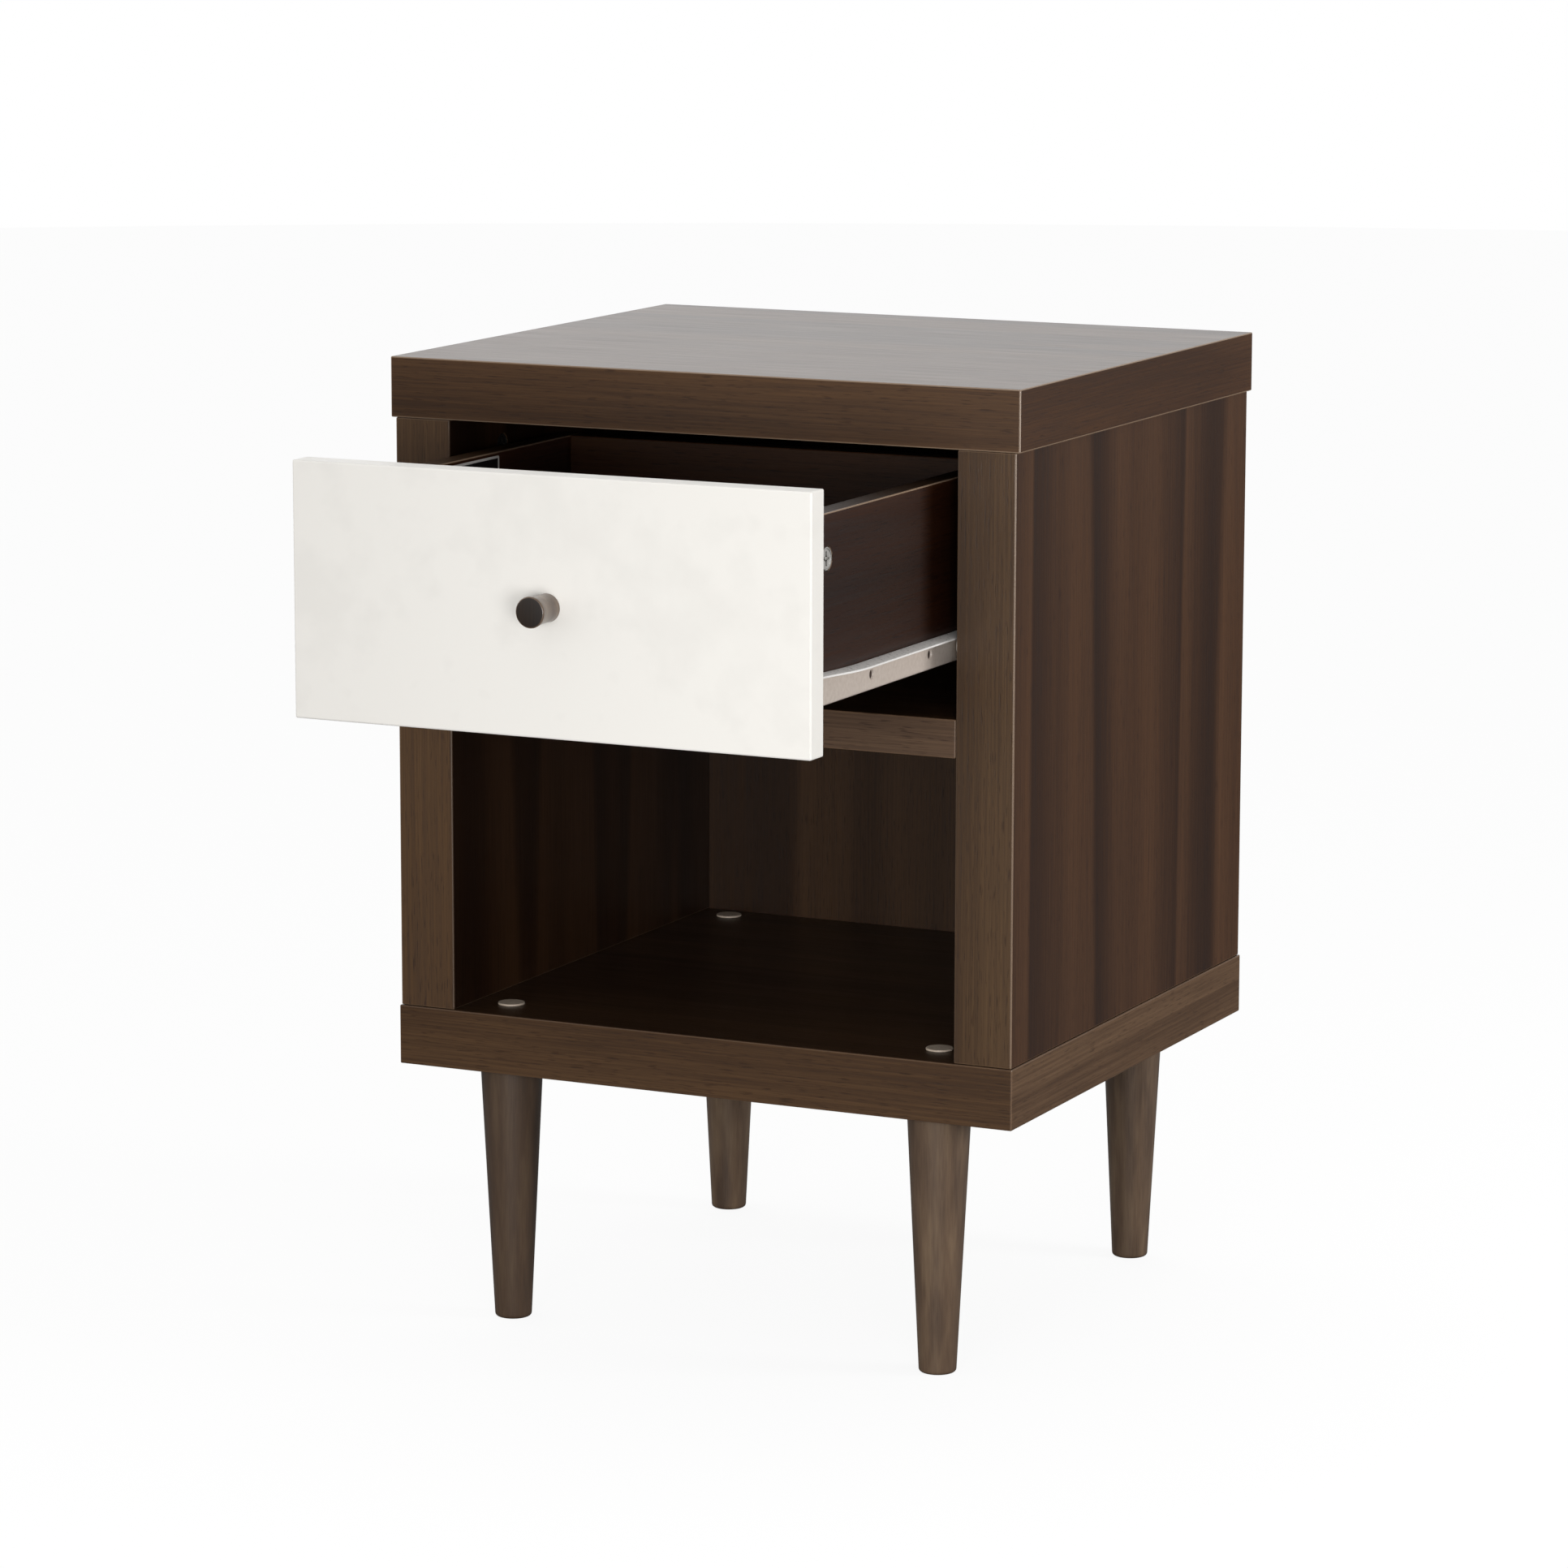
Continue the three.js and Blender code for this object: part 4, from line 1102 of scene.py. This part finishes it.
def stickLabel():
    low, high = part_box("drawer_left_side")
    rear = low.y / mm + label["rearEnd"]
    top = high.z / mm - label["drop"]
    r = label["corner"]
    y0, y1, z0, z1 = rear - label["length"], rear, top - label["height"], top
    outline = (
        roundCorner((y1 - r, z1 - r), r, 0, 90) + roundCorner((y0 + r, z1 - r), r, 90, 180)
        + roundCorner((y0 + r, z0 + r), r, 180, 270) + roundCorner((y1 - r, z0 + r), r, 270, 360)
    )
    form = bmesh.new()
    x = high.x / mm + label["lift"]
    face = form.faces.new([form.verts.new((x * mm, y * mm, z * mm)) for y, z in outline])
    raised = bmesh.ops.extrude_face_region(form, geom=[face])
    lifted = [part for part in raised["geom"] if isinstance(part, bmesh.types.BMVert)]
    bmesh.ops.translate(form, vec=(label["thickness"] * mm, 0, 0), verts=lifted)
    front = next(part for part in raised["geom"] if isinstance(part, bmesh.types.BMFace))
    bmesh.ops.inset_region(form, faces=[front], thickness=label["border"] * mm)
    front.material_index = 1
    piece = addObject("blankLabel", form)
    piece.data.materials.append(finishes["labelPaper"])
    piece.data.materials.append(finishes["labelInk"])
    fit(piece, "drawer", "white_board", "labelPaper")


stickLabel()
print("label stuck on")

# studio: white seen behind the table, soft light from lobes of a dim dome and from three softboxes,
# and a floor that looks white but reflects dimly
studio = {
    "seen": 1.0,
    "dome": 0.12,
    "lobes": [
        # towards, strength, tightness
        ((-0.45, 0.85, 0.25), 1.30, 4),
        ((-0.25, -0.95, 0.10), 0.54, 4),
        ((0.97, -0.10, 0.15), 0.40, 4),
        ((-1.0, 0.0, 0.15), 1.05, 4),
        ((0.0, 0.0, 1.0), 0.80, 4),
    ],
    "softboxes": [
        # turned from the front, away, height and width in mm, watts
        (10, 2000, 480, 600, 12.2),
        (35, 2000, 560, 600, 10.5),
        (106, 2000, 700, 600, 20.5),
    ],
    "softboxAim": (0, 0, 400),
    "floorReach": 9000,
    "floorSides": 96,
    "floorSeen": 0.90,
    "floorPale": "#5a5a5a",
    "floorDim": "#5c5c5c",
}


def lightStudio():
    world = bpy.data.worlds.new("softStudio")
    bpy.context.scene.world = world
    world.use_nodes = True
    tree = world.node_tree
    towards = addNode(tree, "ShaderNodeTexCoord").outputs["Generated"]
    total = studio["dome"]
    for direction, strength, tightness in studio["lobes"]:
        aim = Vector(direction).normalized()
        dot = addNode(tree, "ShaderNodeVectorMath", {0: towards, 1: aim}, operation="DOT_PRODUCT")
        lobe = maths(tree, "POWER", maths(tree, "MAXIMUM", dot.outputs["Value"], 0.0), tightness)
        total = maths(tree, "MULTIPLY_ADD", lobe, strength, total)
    rays = addNode(tree, "ShaderNodeLightPath")
    glow = addNode(tree, "ShaderNodeMix", {0: rays.outputs["Is Camera Ray"], 2: total, 3: studio["seen"]})
    tree.links.new(glow.outputs[0], tree.nodes["Background"].inputs["Strength"])
    tree.nodes["Background"].inputs["Color"].default_value = (1, 1, 1, 1)


def hangSoftboxes():
    for turn, away, high, wide, watts in studio["softboxes"]:
        angle = math.radians(turn)
        place = Vector((away * math.sin(angle), -away * math.cos(angle), high)) * mm
        aim = Vector(studio["softboxAim"]) * mm - place
        lamp = bpy.data.lights.new("softbox", "AREA")
        lamp.size = wide * mm
        lamp.energy = watts
        softbox = bpy.data.objects.new("softbox", lamp)
        softbox.matrix_world = Matrix.Translation(place) @ aim.to_track_quat("-Z", "Y").to_matrix().to_4x4()
        softbox.visible_camera = False
        bpy.context.scene.collection.objects.link(softbox)


def layFloor():
    form = bmesh.new()
    reach = studio["floorReach"] * mm
    bmesh.ops.create_circle(form, cap_ends=True, segments=studio["floorSides"], radius=reach)
    mesh = bpy.data.meshes.new("paperFloor")
    form.to_mesh(mesh)
    form.free()
    material = bpy.data.materials.new("palePaper")
    material.use_nodes = True
    tree = material.node_tree
    tree.nodes.clear()
    rays = addNode(tree, "ShaderNodeLightPath")
    glow = addNode(tree, "ShaderNodeEmission", {"Strength": studio["floorSeen"]})
    pale = addNode(tree, "ShaderNodeBsdfDiffuse", {"Color": linear(studio["floorPale"])})
    seen = addNode(tree, "ShaderNodeAddShader", {0: glow.outputs[0], 1: pale.outputs[0]})
    dim = addNode(tree, "ShaderNodeBsdfDiffuse", {"Color": linear(studio["floorDim"])})
    mixed = addNode(
        tree,
        "ShaderNodeMixShader",
        {0: rays.outputs["Is Camera Ray"], 1: dim.outputs[0], 2: seen.outputs[0]},
    )
    addNode(tree, "ShaderNodeOutputMaterial", {"Surface": mixed.outputs[0]})
    mesh.materials.append(material)
    floor = bpy.data.objects.new("paperFloor", mesh)
    bpy.context.scene.collection.objects.link(floor)


bpy.context.scene.view_settings.view_transform = "Standard"
standCamera()
lightStudio()
hangSoftboxes()
layFloor()
print("studio lit")
